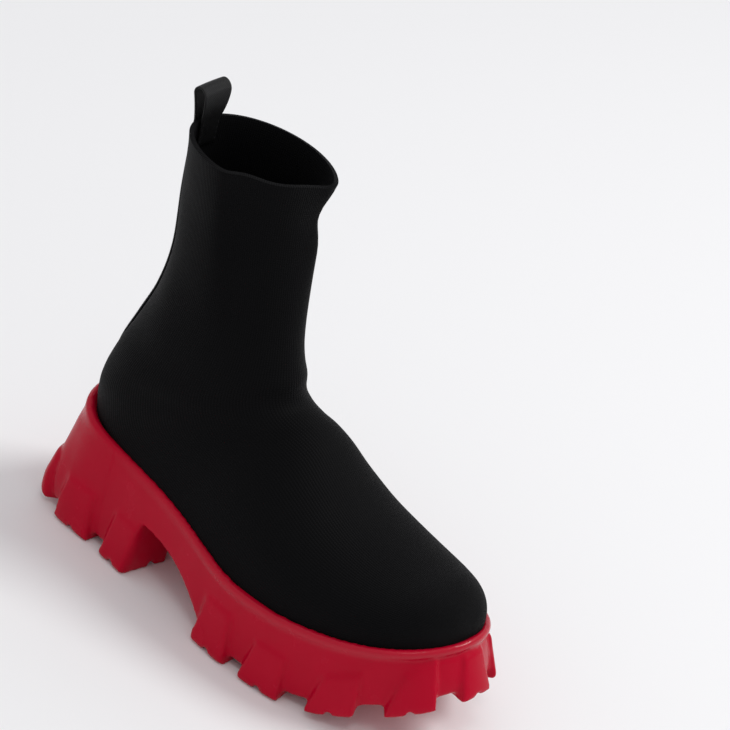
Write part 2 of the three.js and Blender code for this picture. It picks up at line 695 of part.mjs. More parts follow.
const PIECES = [
  { name: 'unit_sole', solid: makeSole(), material: MATERIALS.rubber },
  { name: 'upper', solid: makeUpper(), material: MATERIALS.knit },
  { name: 'insole', solid: makeInsole(), material: MATERIALS.board },
  { name: 'back_tape_loop', solid: makeTape(), material: MATERIALS.webbing },
];

const boot = new THREE.Group();
for (const { name, solid, material } of PIECES) {
  const mesh = new THREE.Mesh(geometryFrom(solid), material);
  mesh.name = name;
  boot.add(mesh);
}

// The frame's origin is on the floor, under the middle of the boot's box
const bounds = new THREE.Box3().setFromObject(boot);
const middle = bounds.getCenter(new THREE.Vector3());
boot.position.set(-middle.x, -middle.y, -bounds.min.z);
boot.updateMatrixWorld(true);

export default boot;
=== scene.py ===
# %% [markdown]
# # A platform ankle boot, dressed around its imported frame
# The real object is a knitted sock upper that sits in a thick moulded rubber sole. A webbing tape
# runs up the back and folds over into a pull loop. The frame holds the plain solids. This script
# puts a finished piece over each of them: the same forms, cut finely enough to be smooth, with
# their folds, edges, stitches and surfaces.

# %% Load the frame
import bisect
import json
import math

import bmesh
import bpy
import numpy as np
from mathutils import Matrix, Vector

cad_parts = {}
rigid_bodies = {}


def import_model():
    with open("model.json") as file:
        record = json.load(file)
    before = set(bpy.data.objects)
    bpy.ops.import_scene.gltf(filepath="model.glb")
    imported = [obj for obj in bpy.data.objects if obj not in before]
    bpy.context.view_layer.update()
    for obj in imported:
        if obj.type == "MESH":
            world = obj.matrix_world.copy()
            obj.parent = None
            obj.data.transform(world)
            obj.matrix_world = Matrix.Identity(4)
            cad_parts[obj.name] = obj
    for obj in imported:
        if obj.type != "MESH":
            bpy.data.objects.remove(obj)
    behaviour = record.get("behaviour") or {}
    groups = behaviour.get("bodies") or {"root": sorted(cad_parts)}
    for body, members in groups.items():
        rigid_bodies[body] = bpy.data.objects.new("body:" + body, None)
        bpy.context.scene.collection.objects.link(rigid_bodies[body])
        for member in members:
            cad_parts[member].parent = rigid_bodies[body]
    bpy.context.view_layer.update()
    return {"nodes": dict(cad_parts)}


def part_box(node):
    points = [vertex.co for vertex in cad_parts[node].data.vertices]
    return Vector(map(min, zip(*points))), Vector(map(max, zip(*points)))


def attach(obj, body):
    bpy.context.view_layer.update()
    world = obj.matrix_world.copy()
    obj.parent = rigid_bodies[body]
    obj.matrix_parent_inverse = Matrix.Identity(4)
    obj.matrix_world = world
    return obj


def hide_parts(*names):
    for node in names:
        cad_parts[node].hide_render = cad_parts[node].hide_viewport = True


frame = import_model()
sole_low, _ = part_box("unit_sole")

# %% [markdown]
# ## Where things are measured from
# A shoemaker measures from the back of the heel and from the line along the middle of the heel.
# All sizes below are millimetres in that frame, with X to the toe, Y to the wearer's left and Z
# up from the floor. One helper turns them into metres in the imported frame.

# %% The measuring frame
SOLE_BACK = -1.4
SOLE_RIGHT = -60.5
ZERO = np.array([sole_low.x * 1000 - SOLE_BACK, sole_low.y * 1000 - SOLE_RIGHT, 0.0])


def to_frame(points):
    """Millimetres in the shoemaker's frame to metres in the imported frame."""
    return (np.asarray(points, float) + ZERO) / 1000


print("zero of the measures, in mm:", ZERO.round(2))

# %% Driving sizes
# These are the part's own, apart from the loop, which is lower here and leans back.
SOLE_LENGTH = 285
HEEL_SETBACK = 10.5
TOE_SETBACK = 16
BALL_WIDTH = 100
FLARE = 10
HEEL_RIM = 68.5
BALL_RIM = 45.5
TOE_RIM = 63.5
TOE_SPRING = 36.5
SPRING_LENGTH = 82
SPRING_CURVE = 1.45
HEEL_LIFT = 8
HEEL_LIFT_LENGTH = 21
BREAST = 82
ARCH_LENGTH = 61
ARCH_HEIGHT = 32.5
ARCH_DROP_SHARE = 0.9
ARCH_CURVE = 2.5
SEAT_DEPTH = 9
BEAD_HEIGHT = 5.5
BEAD_OUT = 3.8
COVE_OUT = 2.4
COVE_DROP_SHARE = 1.25
TREAD_DEPTH = 5.5
LUG_HEIGHT = 30
LUG_DEPTH = 20
LUG_PROUD = 5.4
LUG_TOP_PROUD = 1.8
LUG_CHAMFER = 2
NOTCH_WIDTH = 3.6
NOTCH_DEPTH = 3.2
BREAST_GROOVE = 28
WALL = 2.5
SHAFT_HEIGHT = 176
COLLAR_WIDTH = 69
INSTEP = 70
UPPER_SINK = 16
BULGE_RISE = 6
LEAST_SLOPE = 0.3
LAST_ALONG = 0.9995
TAPE_WIDTH = 19
TAPE = 1.2
LOOP_HEIGHT = 19.2
LOOP_DEPTH = 9
LOOP_LEAN = -2.2
LOOP_FLATTEN = 0.85
LOOP_TAIL = 14
GAP = 0.3
RIM_LENGTH = SOLE_LENGTH - HEEL_SETBACK - TOE_SETBACK

# %% [markdown]
# ## The tables of the last and the sole
# A last is drawn through a few sections, and a smooth curve runs through each column of the
# table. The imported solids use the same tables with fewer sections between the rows, so the fine
# pieces lie on them.

# %% Tables
PLAN = {
    "along": [0, 0.012, 0.03, 0.06, 0.12, 0.19, 0.29, 0.38, 0.48, 0.58, 0.67, 0.75, 0.85, 0.91, 0.96, 1],
    "full": [1.36, 1.34, 1.3, 1.22, 1.06, 0.9, 0.82, 0.8,
             0.86, 0.96, 1.065, 1.145, 1.225, 1.27, 1.31, 1.37],
    "centre": [0] * 5 + [-0.005, -0.022, -0.05, -0.06, -0.05, -0.023, -0.003, 0.008, 0.013, 0.018, 0.022],
    "flare": [0.75, 1.05, 1.58, 1.08, 0.58, 0.62, 0.58, 0.34] + [0.24] * 4 + [0.3, 0.44, 0.8, 0.98],
    "bead": [0] * 5 + [0.05, 0.15, 0.3, 0.5, 0.75, 0.9] + [1] * 5,
}
RIM = {
    "along": [0.037, 0.12, 0.21, 0.3, 0.38, 0.455, 0.51, 0.565, 0.65, 0.735, 0.82, 0.885, 0.92, 0.95],
    "heel": [1, 0.83, 0.67, 0.575, 0.46, 0.26, 0.08] + [0] * 7,
    "toe": [0] * 8 + [0.01, 0.15, 0.38, 0.64, 0.82, 1],
}
WALL_PROFILE = {"rise": [0, 0.3, 0.62, 0.86], "spread": [1, 0.8, 0.46, 0.2]}
BEAD_PROFILE = {
    "drop": [1.0, 0.78, 0.55, 0.34, 0.18, 0.06, 0.0],
    "out": [0.68, 0.92, 1.0, 0.97, 0.86, 0.68, 0.48],
    "flush": [0.98, 0.98, 0.98, 0.97, 0.92, 0.77, 0.6],
}
LUG_COLUMNS = ("from", "to", "back", "front", "depth", "tall")
SIDE_LUGS = [dict(zip(LUG_COLUMNS, row)) for row in (
    (0.008, 0.041, 0.10, 0.10, 0.8, 1.0),
    (0.064, 0.146, 0.10, 0.12, 1.0, 1.0),
    (0.192, 0.2755, 0.16, 0.0, 1.35, 1.0),
    (0.504, 0.603, 0.10, 0.16, 1.0, 1.0),
    (0.642, 0.742, 0.18, 0.10, 1.0, 0.9),
    (0.798, 0.888, 0.20, 0.08, 1.0, 0.88),
    (0.929, 0.982, 0.22, 0.10, 0.9, 0.88),
)]
TOE_LUG = {"from": 0.9962, "draw": 0.10, "depth": 0.9, "tall": 0.8}
SHAFT_SECTIONS = {
    "back": [0.107, 0.1075, 0.115, 0.1025, 0.0745, 0.047, 0.036],
    "low": [1, 0.795, 0.6, 0.45, 0.32, 0.197, 0.085],
    "front": [0.4055, 0.4075, 0.4175, 0.4275, 0.439, 0.448, 0.456],
    "high": [0.966, 0.77, 0.59, 0.485, 0.426, 0.38, 0.34],
    "width": [1, 0.82, 0.77, 0.79, 0.87, 0.96, 1.03],
    "widest": [0.5, 0.5, 0.5, 0.48, 0.44, 0.38, 0.33],
    "round": [2, 2, 2, 2.1, 2.2, 2.3, 2.4],
    "crown": [2, 2, 2, 2, 2, 2.1, 2.1],
}
FOOT_SECTIONS = {
    "base": [0.038, 0.086, 0.21, 0.333, 0.439, 0.544, 0.632, 0.719, 0.8, 0.862, 0.9, 0.924, 0.942],
    "sink": [0.12] + [1] * 9 + [0.8, 0.6, 0.22],
    "crest": [0.47, 0.495, 0.523, 0.5575, 0.5955, 0.64, 0.692,
              0.751, 0.8105, 0.8665, 0.901, 0.925, 0.943],
    "rise": [1.045, 1.035, 1.01, 0.945, 0.82, 0.698, 0.576, 0.476, 0.4, 0.345, 0.275, 0.17, 0.02],
    "width": [1.03, 1.02, 1.02, 1.02, 1.01] + [1] * 8,
    "round": [2.5, 3, 3.6] + [4] * 7 + [3.6, 3, 2.2],
    "crown": [2.2, 2.25, 2.3, 2.35, 2.35, 2.3, 2.2, 2.1, 2.1, 2.15, 2.15, 2.15, 2],
    "lean": [0.01, 0.02, 0.03, 0.038, 0.042, 0.045, 0.043, 0.036, 0.029, 0.023, 0.021, 0.021, 0.021],
}


def through(places, values):
    """A smooth curve through a column of values, flat beyond its ends."""
    last = len(places) - 1

    def slope(i):
        a, b = max(i - 1, 0), min(i + 1, last)
        return (values[b] - values[a]) / (places[b] - places[a])

    def at(x):
        if x <= places[0]:
            return values[0]
        if x >= places[last]:
            return values[last]
        i = bisect.bisect_left(places, x) - 1
        step = places[i + 1] - places[i]
        t = (x - places[i]) / step
        rise = values[i + 1] - values[i]
        start = slope(i) * step - rise
        end = slope(i + 1) * step - rise
        return values[i] + rise * t + t * (1 - t) * (start * (1 - t) - end * t)

    return at


def mix(a, b, t):
    return a + (b - a) * t


def soft_step(value):
    """From 0 to 1, with a flat start and end."""
    held = np.clip(value, 0, 1)
    return held * held * (3 - 2 * held)


plan_full, plan_centre, plan_flare, plan_bead = (
    through(PLAN["along"], PLAN[column]) for column in ("full", "centre", "flare", "bead")
)
rim_heel, rim_toe = (through(RIM["along"], RIM[column]) for column in ("heel", "toe"))
print("tables:", len(PLAN["along"]), "plan rows,", len(SIDE_LUGS), "lugs a side")

# %% The sole's rim line, seat and tread


def rim_height(x):
    along = x / SOLE_LENGTH
    return BALL_RIM + (HEEL_RIM - BALL_RIM) * rim_heel(along) + (TOE_RIM - BALL_RIM) * rim_toe(along)


def seat_height(x):
    return rim_height(x) - SEAT_DEPTH


def tread_height(x):
    toe = max((x - (SOLE_LENGTH - SPRING_LENGTH)) / SPRING_LENGTH, 0)
    heel = max((HEEL_LIFT_LENGTH - x) / HEEL_LIFT_LENGTH, 0)
    return TOE_SPRING * toe**SPRING_CURVE + HEEL_LIFT * heel**SPRING_CURVE


def along_at(turn):
    return (1 - math.cos(turn)) / 2


def turn_at(along):
    return math.acos(1 - 2 * along)


def rim_half(along):
    return plan_full(along) * BALL_WIDTH * math.sqrt(max(along * (1 - along), 0))


def rim_point(turn):
    """A point of the rim in plan. The turn runs round by the heel, right side, toe and left side."""
    along = along_at(turn)
    half = rim_half(along) * np.sign(math.sin(turn))
    return np.array([HEEL_SETBACK + RIM_LENGTH * along, plan_centre(along) * BALL_WIDTH - half])


def rim_normal(turn, step=0.02):
    run = rim_point(turn + step) - rim_point(turn - step)
    return np.array([run[1], -run[0]]) / np.hypot(*run)


def spread_point(turn, spread, out):
    distance = plan_flare(along_at(turn)) * FLARE * spread + out
    return rim_point(turn) + rim_normal(turn) * distance


print("rim heights:", [round(rim_height(x), 1) for x in (HEEL_SETBACK, BREAST, SOLE_LENGTH)], "mm")

# %% The bead, cove and wall
wall_spread = through(WALL_PROFILE["rise"], WALL_PROFILE["spread"])


def bead_out(turn, row):
    """How far a row of the bead's profile stands out from the rim line."""
    share = mix(BEAD_PROFILE["flush"][row], BEAD_PROFILE["out"][row], plan_bead(along_at(turn)))
    return BEAD_OUT * share


def cove_out(turn):
    return mix(bead_out(turn, 0), COVE_OUT, plan_bead(along_at(turn)))


def wall_ends(turn):
    """Heights of the wall's foot and of the bead's lower edge."""
    foot = tread_height(spread_point(turn, 1, 0)[0]) + TREAD_DEPTH
    return foot, rim_height(rim_point(turn)[0]) - BEAD_HEIGHT


def wall_point(turn, z, out):
    """A point of the flared wall at a height, moved out by a plain distance."""
    foot, head = wall_ends(turn)
    spread = wall_spread((z - foot) / (head - foot))
    flat = spread_point(turn, spread, cove_out(turn) * (1 - spread) + out)
    return np.array([flat[0], flat[1], z])


print("ball rim at", rim_point(turn_at(0.6)).round(1), "heel rim at height", rim_height(HEEL_SETBACK))

# %% [markdown]
# ## Mesh helpers
# Most pieces are grids of points. A grid keeps its rows and columns for the UV map, so knit and
# weave follow the cloth. Pieces sit at the origin with their place in the mesh.

# %% Mesh helpers
EDGE_ANGLE = 55


def new_object(name, data):
    thing = bpy.data.objects.new(name, data)
    bpy.context.scene.collection.objects.link(thing)
    return thing


def mesh_from(name, points, faces):
    mesh = bpy.data.meshes.new(name)
    mesh.from_pydata([tuple(p) for p in points], [], faces)
    mesh.validate()
    mesh.update()
    return new_object(name, mesh)


def outward(thing):
    """Points the faces of a closed mesh outwards."""
    work = bmesh.new()
    work.from_mesh(thing.data)
    bmesh.ops.recalc_face_normals(work, faces=work.faces)
    if work.calc_volume(signed=True) < 0:
        bmesh.ops.reverse_faces(work, faces=work.faces)
    work.to_mesh(thing.data)
    work.free()


def modify(thing, name, kind, **settings):
    """Gives a piece a modifier with these settings."""
    modifier = thing.modifiers.new(name, kind)
    for setting, value in settings.items():
        setattr(modifier, setting, value)


def apply_modifiers(thing):
    """Replaces a piece's mesh by what its modifiers make of it, and removes them."""
    graph = bpy.context.evaluated_depsgraph_get()
    made = bpy.data.meshes.new_from_object(thing.evaluated_get(graph), depsgraph=graph)
    thing.modifiers.clear()
    old = thing.data
    thing.data = made
    bpy.data.meshes.remove(old)
    thing.data.name = thing.name


def smooth(thing, angle=None):
    for face in thing.data.polygons:
        face.use_smooth = True
    if angle is not None:
        thing.data.set_sharp_from_angle(angle=math.radians(angle))


def triangles(thing):
    return sum(len(p.vertices) - 2 for p in thing.data.polygons)


def round_edges(thing, width, segments):
    """A bevel on the sharp edges, in millimetres."""
    sizes = {"width": width / 1000, "segments": segments, "angle_limit": math.radians(EDGE_ANGLE)}
    modify(thing, "edges", "BEVEL", limit_method="ANGLE", **sizes)


def finish_piece(thing, material, slot, *nodes):
    thing.data.materials.clear()
    thing.data.materials.append(material)
    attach(thing, "root")
    if nodes:
        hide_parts(*nodes)
    print(thing.name, "has", triangles(thing), "triangles")


print("mesh helpers ready")

# %% Grids and stacks


def grid_faces(rows, columns, wrap=True):
    """Faces of a grid, and the column and row of each corner. A wrapped grid's columns go round."""
    faces, marks = [], []
    for i in range(rows - 1):
        for j in range(columns if wrap else columns - 1):
            a, b = i * columns + j, i * columns + (j + 1) % columns
            faces.append((a, b, b + columns, a + columns))
            marks.append([(j, i), (j + 1, i), (j + 1, i + 1), (j, i + 1)])
    return faces, marks


def stack_object(name, loops, ends="fan"):
    """A closed stack of equal loops. Its ends are fans, strips across a long loop or flat faces."""
    count = len(loops[0])
    points = [tuple(p) for loop in loops for p in loop]
    faces, _ = grid_faces(len(loops), count)
    for first, loop in ((0, loops[0]), ((len(loops) - 1) * count, loops[-1])):
        if ends == "fan":
            points.append(tuple(np.mean(loop, axis=0)))
            faces += [(first + j, first + (j + 1) % count, len(points) - 1) for j in range(count)]
        elif ends == "flat":
            faces.append(tuple(range(first, first + count)))
        else:
            for j in range(count // 2):
                corners = [j, j + 1, (count - j - 1) % count, (count - j) % count]
                faces.append(tuple(first + c for c in dict.fromkeys(corners)))
    thing = mesh_from(name, to_frame(points), faces)
    outward(thing)
    return thing


print("faces of a closed grid of 3 rows by 4 columns:", len(grid_faces(3, 4)[0]))

# %% [markdown]
# ## The last
# A last is the foot-shaped form that a shoe is built on. Its sections fan out from the collar,
# round the heel, to the toe. Each section is an oval with a low widest point, drawn here by its
# arc length, so that the knit's columns stay even all round.

# %% Rows of the last


def section_columns():
    """One list for each column of the last's sections, from the collar to the toe."""
    shaft, foot = SHAFT_SECTIONS, FOOT_SECTIONS
    rows = {
        "bx": [v * SOLE_LENGTH for v in shaft["back"] + foot["base"]],
        "bz": [HEEL_RIM + v * SHAFT_HEIGHT for v in shaft["low"]]
        + [rim_height(b * SOLE_LENGTH) - s * UPPER_SINK for b, s in zip(foot["base"], foot["sink"])],
        "tx": [v * SOLE_LENGTH for v in shaft["front"] + foot["crest"]],
        "tz": [HEEL_RIM + v * SHAFT_HEIGHT for v in shaft["high"]]
        + [rim_height(c * SOLE_LENGTH) + r * INSTEP for c, r in zip(foot["crest"], foot["rise"])],
        "shaft": [1] * len(shaft["back"]) + [0] * len(foot["base"]),
        "widest": shaft["widest"] + [shaft["widest"][-1]] * len(foot["base"]),
        "lean": [0] * len(shaft["back"]) + [v * BALL_WIDTH for v in foot["lean"]],
    }
    for column in ("width", "round", "crown"):
        rows[column] = shaft[column] + foot[column]
    return rows


ROWS = section_columns()
LAST_ROW = len(ROWS["bx"]) - 1
ROW_CURVES = {column: through(list(range(LAST_ROW + 1)), values) for column, values in ROWS.items()}


def section_at(order):
    section = {column: curve(order) for column, curve in ROW_CURVES.items()}
    section["shaft"] = min(max(section["shaft"], 0), 1)
    return section


print("sections of the last:", LAST_ROW + 1)

# %% One section
LOW_POINTS = 41
HIGH_POINTS = 61


def section_frame(section):
    """A section's direction, length, half width, widest place and place of the rim."""
    run_x, run_z = section["tx"] - section["bx"], section["tz"] - section["bz"]
    length = math.hypot(run_x, run_z)
    ex, ez = run_x / length, run_z / length
    steep = max(ez, LEAST_SLOPE)
    to_rim = min(UPPER_SINK / steep, length / 2)
    rim_along = (section["bx"] + ex * to_rim - HEEL_SETBACK) / RIM_LENGTH
    foot_half = rim_half(min(max(rim_along, 0), LAST_ALONG)) * section["width"]
    half = mix(foot_half, COLLAR_WIDTH / 2 * section["width"], section["shaft"])
    foot_widest = min((UPPER_SINK + BULGE_RISE) / steep, length / 2)
    widest = mix(foot_widest, length * section["widest"], section["shaft"])
    return {"length": length, "ex": ex, "ez": ez, "half": half, "widest": widest, "to_rim": to_rim}


def section_middle(section, f, up):
    """A section's middle follows the rim line up to the rim, then bends to the ridge."""
    along = (section["bx"] + f["ex"] * min(up, f["to_rim"]) - HEEL_SETBACK) / RIM_LENGTH
    at_rim = mix(plan_centre(along) * BALL_WIDTH, 0, section["shaft"])
    return mix(at_rim, section["lean"], max(up - f["to_rim"], 0) / (f["length"] - f["to_rim"]))


def even(points, count):
    """The same line with count points, evenly spaced along it."""
    steps = np.hypot(*np.diff(points, axis=0).T)
    travelled = np.concatenate([[0], np.cumsum(steps)])
    wanted = np.linspace(0, travelled[-1], count)
    return np.column_stack([np.interp(wanted, travelled, points[:, k]) for k in range(2)])


def section_loop(section, half_count):
    """A section's loop: up the right side from the bottom, over the ridge, down the left."""
    f = section_frame(section)
    low = np.linspace(0, math.pi / 2, LOW_POINTS)
    high = np.linspace(math.pi / 2, 0, HIGH_POINTS)[1:]
    low_up = f["widest"] * (1 - np.cos(low) ** (2 / section["round"]))
    low_out = f["half"] * np.sin(low) ** (2 / section["round"])
    high_up = f["length"] - (f["length"] - f["widest"]) * (1 - np.cos(high) ** (2 / section["crown"]))
    high_out = f["half"] * np.sin(high) ** (2 / section["crown"])
    line = np.column_stack([np.append(low_up, high_up), np.append(low_out, high_out)])
    side = even(line, half_count + 1)
    up = np.append(side[:, 0], side[-2:0:-1, 0])
    out = np.append(-side[:, 1], side[-2:0:-1, 1])
    middle = np.array([section_middle(section, f, u) for u in up])
    return np.column_stack([section["bx"] + f["ex"] * up, middle + out, section["bz"] + f["ez"] * up])


print("collar's section:", np.ptp(section_loop(section_at(0), 40), axis=0).round(1), "mm")

# %% The last as a grid


def last_grid(steps, half_count):
    """The last as a grid: rows from the collar to the toe, columns round each section."""
    orders = np.arange(0, LAST_ROW * steps + 1) / steps
    return orders, np.array([section_loop(section_at(o), half_count) for o in orders])


def grid_normals(grid):
    """Outward normals of a grid whose columns go round."""
    down = np.gradient(grid, axis=0)
    round_ = np.roll(grid, -1, axis=1) - np.roll(grid, 1, axis=1)
    normal = np.cross(down, round_)
    normal /= np.linalg.norm(normal, axis=2, keepdims=True) + 1e-12
    outwards = grid - grid.mean(axis=1, keepdims=True)
    return normal * np.sign((normal * outwards).sum())


orders, last = last_grid(1, 20)
print("last:", last.shape, "spans", (last.max((0, 1)) - last.min((0, 1))).round(1), "mm")

# %% [markdown]
# ## Materials
# The knit is a flat black with hardly any gloss, the webbing is the same black but shinier, and
# the rubber is a saturated red with a soft moulded gloss. Each one gets its fine relief from
# bump, and its roughness varies a little, since no real surface is even.

# %% Material helpers


def add(nodes, kind, **values):
    """A new node. Names of sockets are given with underscores; other names are its settings."""
    node = nodes.new(kind)
    for name, value in values.items():
        socket = node.inputs.get(name.replace("_", " "))
        if socket is not None:
            socket.default_value = value
        else:
            setattr(node, name, value)
    return node


class Recipe:
    """One material: a shader, and the nodes that lead to it."""

    def __init__(self, name, **values):
        self.material = bpy.data.materials.new(name)
        self.material.use_nodes = True
        tree = self.material.node_tree
        self.nodes, self.link, self.shader = tree.nodes, tree.links.new, tree.nodes["Principled BSDF"]
        for socket, value in values.items():
            self.shader.inputs[socket.replace("_", " ")].default_value = value

    def lead(self, source, socket):
        self.link(source, self.shader.inputs[socket])

    def maths(self, operation, *values):
        """One arithmetic node. Each value is a number or another node's output."""
        node = add(self.nodes, "ShaderNodeMath", operation=operation)
        for value, socket in zip(values, node.inputs):
            if isinstance(value, (int, float)):
                socket.default_value = value
            else:
                self.link(value, socket)
        return node.outputs[0]

    def noise(self, scale, detail, roughness=0.5):
        """Noise on Object coordinates, for a surface with no direction of its own."""
        node = add(self.nodes, "ShaderNodeTexNoise", Scale=scale, Detail=detail, Roughness=roughness)
        self.link(self.nodes.new("ShaderNodeTexCoord").outputs["Object"], node.inputs["Vector"])
        return node.outputs["Fac"]

    def coordinates(self, uv_name):
        """Across and along on a UV map, or else on Object coordinates."""
        if uv_name:
            place = add(self.nodes, "ShaderNodeUVMap", uv_map=uv_name).outputs["UV"]
        else:
            place = self.nodes.new("ShaderNodeTexCoord").outputs["Object"]
        split = self.nodes.new("ShaderNodeSeparateXYZ")
        self.link(place, split.inputs[0])
        return split.outputs["X"], split.outputs["Y"]

    def colour(self, source, dark, light):
        """Mixes the base colour from two by a 0 to 1 value."""
        node = self.nodes.new("ShaderNodeMix")
        node.data_type = "RGBA"
        node.inputs["A"].default_value = (*dark, 1)
        node.inputs["B"].default_value = (*light, 1)
        self.link(source, node.inputs["Factor"])
        self.lead(node.outputs["Result"], "Base Color")

    def roughness(self, source, low, high):
        """Spreads a 0 to 1 value over a range of roughness."""
        node = add(self.nodes, "ShaderNodeMapRange", To_Min=low, To_Max=high)
        self.link(source, node.inputs["Value"])
        self.lead(node.outputs["Result"], "Roughness")

    def bump(self, height, distance, after=None):
        node = add(self.nodes, "ShaderNodeBump", Distance=distance)
        self.link(height, node.inputs["Height"])
        if after is not None:
            self.link(after, node.inputs["Normal"])
        self.lead(node.outputs["Normal"], "Normal")
        return node.outputs["Normal"]


print("material helpers ready")

# %% [markdown]
# ### Rubber
# Moulded rubber copies the mould: a fine even grain, a few softer cloudy patches, and a gloss
# that is broad, not sharp. Only the bead has a thin coat over it, because it is moulded smoother.

# %% Red rubber
COAT = 0.35


def make_rubber():
    rubber = Recipe("red_moulded_rubber", Specular_IOR_Level=0.10, Coat_Roughness=0.22)
    cloud = rubber.noise(60.0, 4.0, 0.6)
    rubber.colour(cloud, (0.40, 0.0006, 0.016), (0.465, 0.0009, 0.021))
    rubber.roughness(cloud, 0.20, 0.32)
    polish = add(rubber.nodes, "ShaderNodeAttribute", attribute_name="polish").outputs["Fac"]
    rubber.lead(rubber.maths("MULTIPLY", polish, COAT), "Coat Weight")
    rubber.bump(rubber.noise(2600.0, 2.0), 0.00006)
    return rubber.material


RUBBER = make_rubber()
print(RUBBER.name)

# %% [markdown]
# ### Knit
# The upper is a fine flat knit. Each column of stitches, a wale, is a chain of small V shapes.
# The UV map counts wales across and courses along, so the V is a saw of the distance from the
# wale's middle, added to the course. It runs down the leg and on along the foot by itself.

# %% Black knit
WALE_COUNT = 190
COURSE = 1.25
V_SLANT = 1.3
V_DEPTH = 0.28


def make_knit():
    knit = Recipe("black_fine_knit", Specular_IOR_Level=0.06, Sheen_Weight=0.010, Sheen_Roughness=0.4)
    across, along = knit.coordinates("cloth")
    from_middle = knit.maths("ABSOLUTE", knit.maths("SUBTRACT", knit.maths("FRACT", across), 0.5))
    column = knit.maths("COSINE", knit.maths("MULTIPLY", from_middle, math.pi))
    chain = knit.maths("ADD", along, knit.maths("MULTIPLY", from_middle, V_SLANT))
    course = knit.maths("SINE", knit.maths("MULTIPLY", chain, 2 * math.pi))
    loop = knit.maths("ADD", knit.maths("MULTIPLY", course, V_DEPTH), 1 - V_DEPTH)
    stitch = knit.maths("MULTIPLY", column, loop)
    # The colour follows the stitch relief: darker where it is low between wales and courses, lighter on
    # the stitch tops. This is painted shade in the knit's hollows; the yarn itself is one black.
    knit.colour(stitch, (0.0008, 0.0008, 0.0010), (0.0030, 0.0029, 0.0034))
    knit.roughness(knit.noise(35.0, 3.0), 0.56, 0.68)
    relief = knit.bump(stitch, 0.00022)
    knit.bump(knit.noise(900.0, 3.0), 0.00008, after=relief)
    return knit.material


KNIT = make_knit()
print(KNIT.name, "with", WALE_COUNT, "wales round")

# %% [markdown]
# ### Webbing, lining cloth and thread
# Webbing is a narrow plain weave of thicker yarn: two crossed waves, one over and one under.
# Its UV map is in millimetres, so the weave has a real size. The insole's cloth, which lies
# nearly flat, and the thread are the same weave, finer, on Object coordinates.

# %% Webbing, cloth and thread
WEAVE = 1.1
YARN_BLUE = 1.08


def make_cloth(name, dark, light, roughness, uv_name, size, depth, specular):
    """A plain weave: the product of a wave across and a wave along."""
    cloth = Recipe(name, Specular_IOR_Level=specular)
    turns = [cloth.maths("MULTIPLY", run, 2 * math.pi / size) for run in cloth.coordinates(uv_name)]
    crossed = cloth.maths("MULTIPLY", *(cloth.maths("SINE", turn) for turn in turns))
    height = cloth.maths("ADD", cloth.maths("MULTIPLY", crossed, 0.5), 0.5)
    # The colour follows the weave's height: darker where it dips between the yarns, lighter on their
    # crowns. This is painted shade in the weave's hollows, for the webbing, the insole cloth and the
    # thread alike.
    cloth.colour(height, *((grey, grey, grey * YARN_BLUE) for grey in (dark, light)))
    cloth.roughness(height, roughness - 0.08, roughness + 0.05)
    cloth.bump(height, depth)
    return cloth.material


WEBBING = make_cloth("black_webbing", 0.001, 0.0036, 0.4, "cloth", WEAVE, 0.00016, 0.22)
LINING = make_cloth("black_insole_cloth", 0.003, 0.008, 0.85, None, 0.0009, 0.0001, 0.3)
THREAD = make_cloth("black_thread", 0.004, 0.012, 0.5, None, 0.0004, 0.00003, 0.3)
print(WEBBING.name, LINING.name, THREAD.name)

# %% [markdown]
# ## The sole
# The real sole is moulded in one piece. Its parts are a rounded bead under the upper, a shallow
# cove, a wall that flares to the ground, and lugs that stand proud of the wall. Here each form
# is a closed mesh, and a voxel remesh joins them into one skin. A light smoothing then gives
# all edges the small radius that a mould leaves, also where a lug fades into the wall.

# %% The sole's wall, bead and arch
PLAN_STEPS = 420
WALL_STEPS = 12
ARCH_STEPS = 40
REACH = 10


def sole_body():
    turns = [i / PLAN_STEPS * 2 * math.pi for i in range(PLAN_STEPS)]
    rings = []
    for k in range(WALL_STEPS + 1):
        rise = WALL_PROFILE["rise"][-1] * k / WALL_STEPS
        rings.append([wall_point(turn, mix(*wall_ends(turn), rise), 0) for turn in turns])
    for row, drop in enumerate([COVE_DROP_SHARE] + BEAD_PROFILE["drop"]):
        ring = []
        for turn in turns:
            flat = spread_point(turn, 0, cove_out(turn) if row == 0 else bead_out(turn, row - 1))
            ring.append((flat[0], flat[1], rim_height(rim_point(turn)[0]) - drop * BEAD_HEIGHT))
        rings.append(ring)
    return stack_object("sole_body", rings, "strip")


def arch_cutter():
    """The arch's outline in the side view, pushed across the whole width."""
    outline = [(BREAST, -REACH)]
    for i in range(ARCH_STEPS + 1):
        share = i / ARCH_STEPS
        height = ARCH_HEIGHT * (1 - ARCH_DROP_SHARE * share**ARCH_CURVE)
        outline.append((BREAST + ARCH_LENGTH * share, height))
    outline.append((BREAST + ARCH_LENGTH, -REACH))
    sides = [[(x, y, z) for x, z in outline] for y in (-BALL_WIDTH, BALL_WIDTH)]
    return stack_object("arch_cutter", sides, "flat")


body = sole_body()
arch = arch_cutter()
print("sole body:", len(body.data.vertices), "points")

# %% Lugs and their notches
LUG_STEPS = 16
SQUARE = ((-1, -1), (1, -1), (1, 1), (-1, 1))


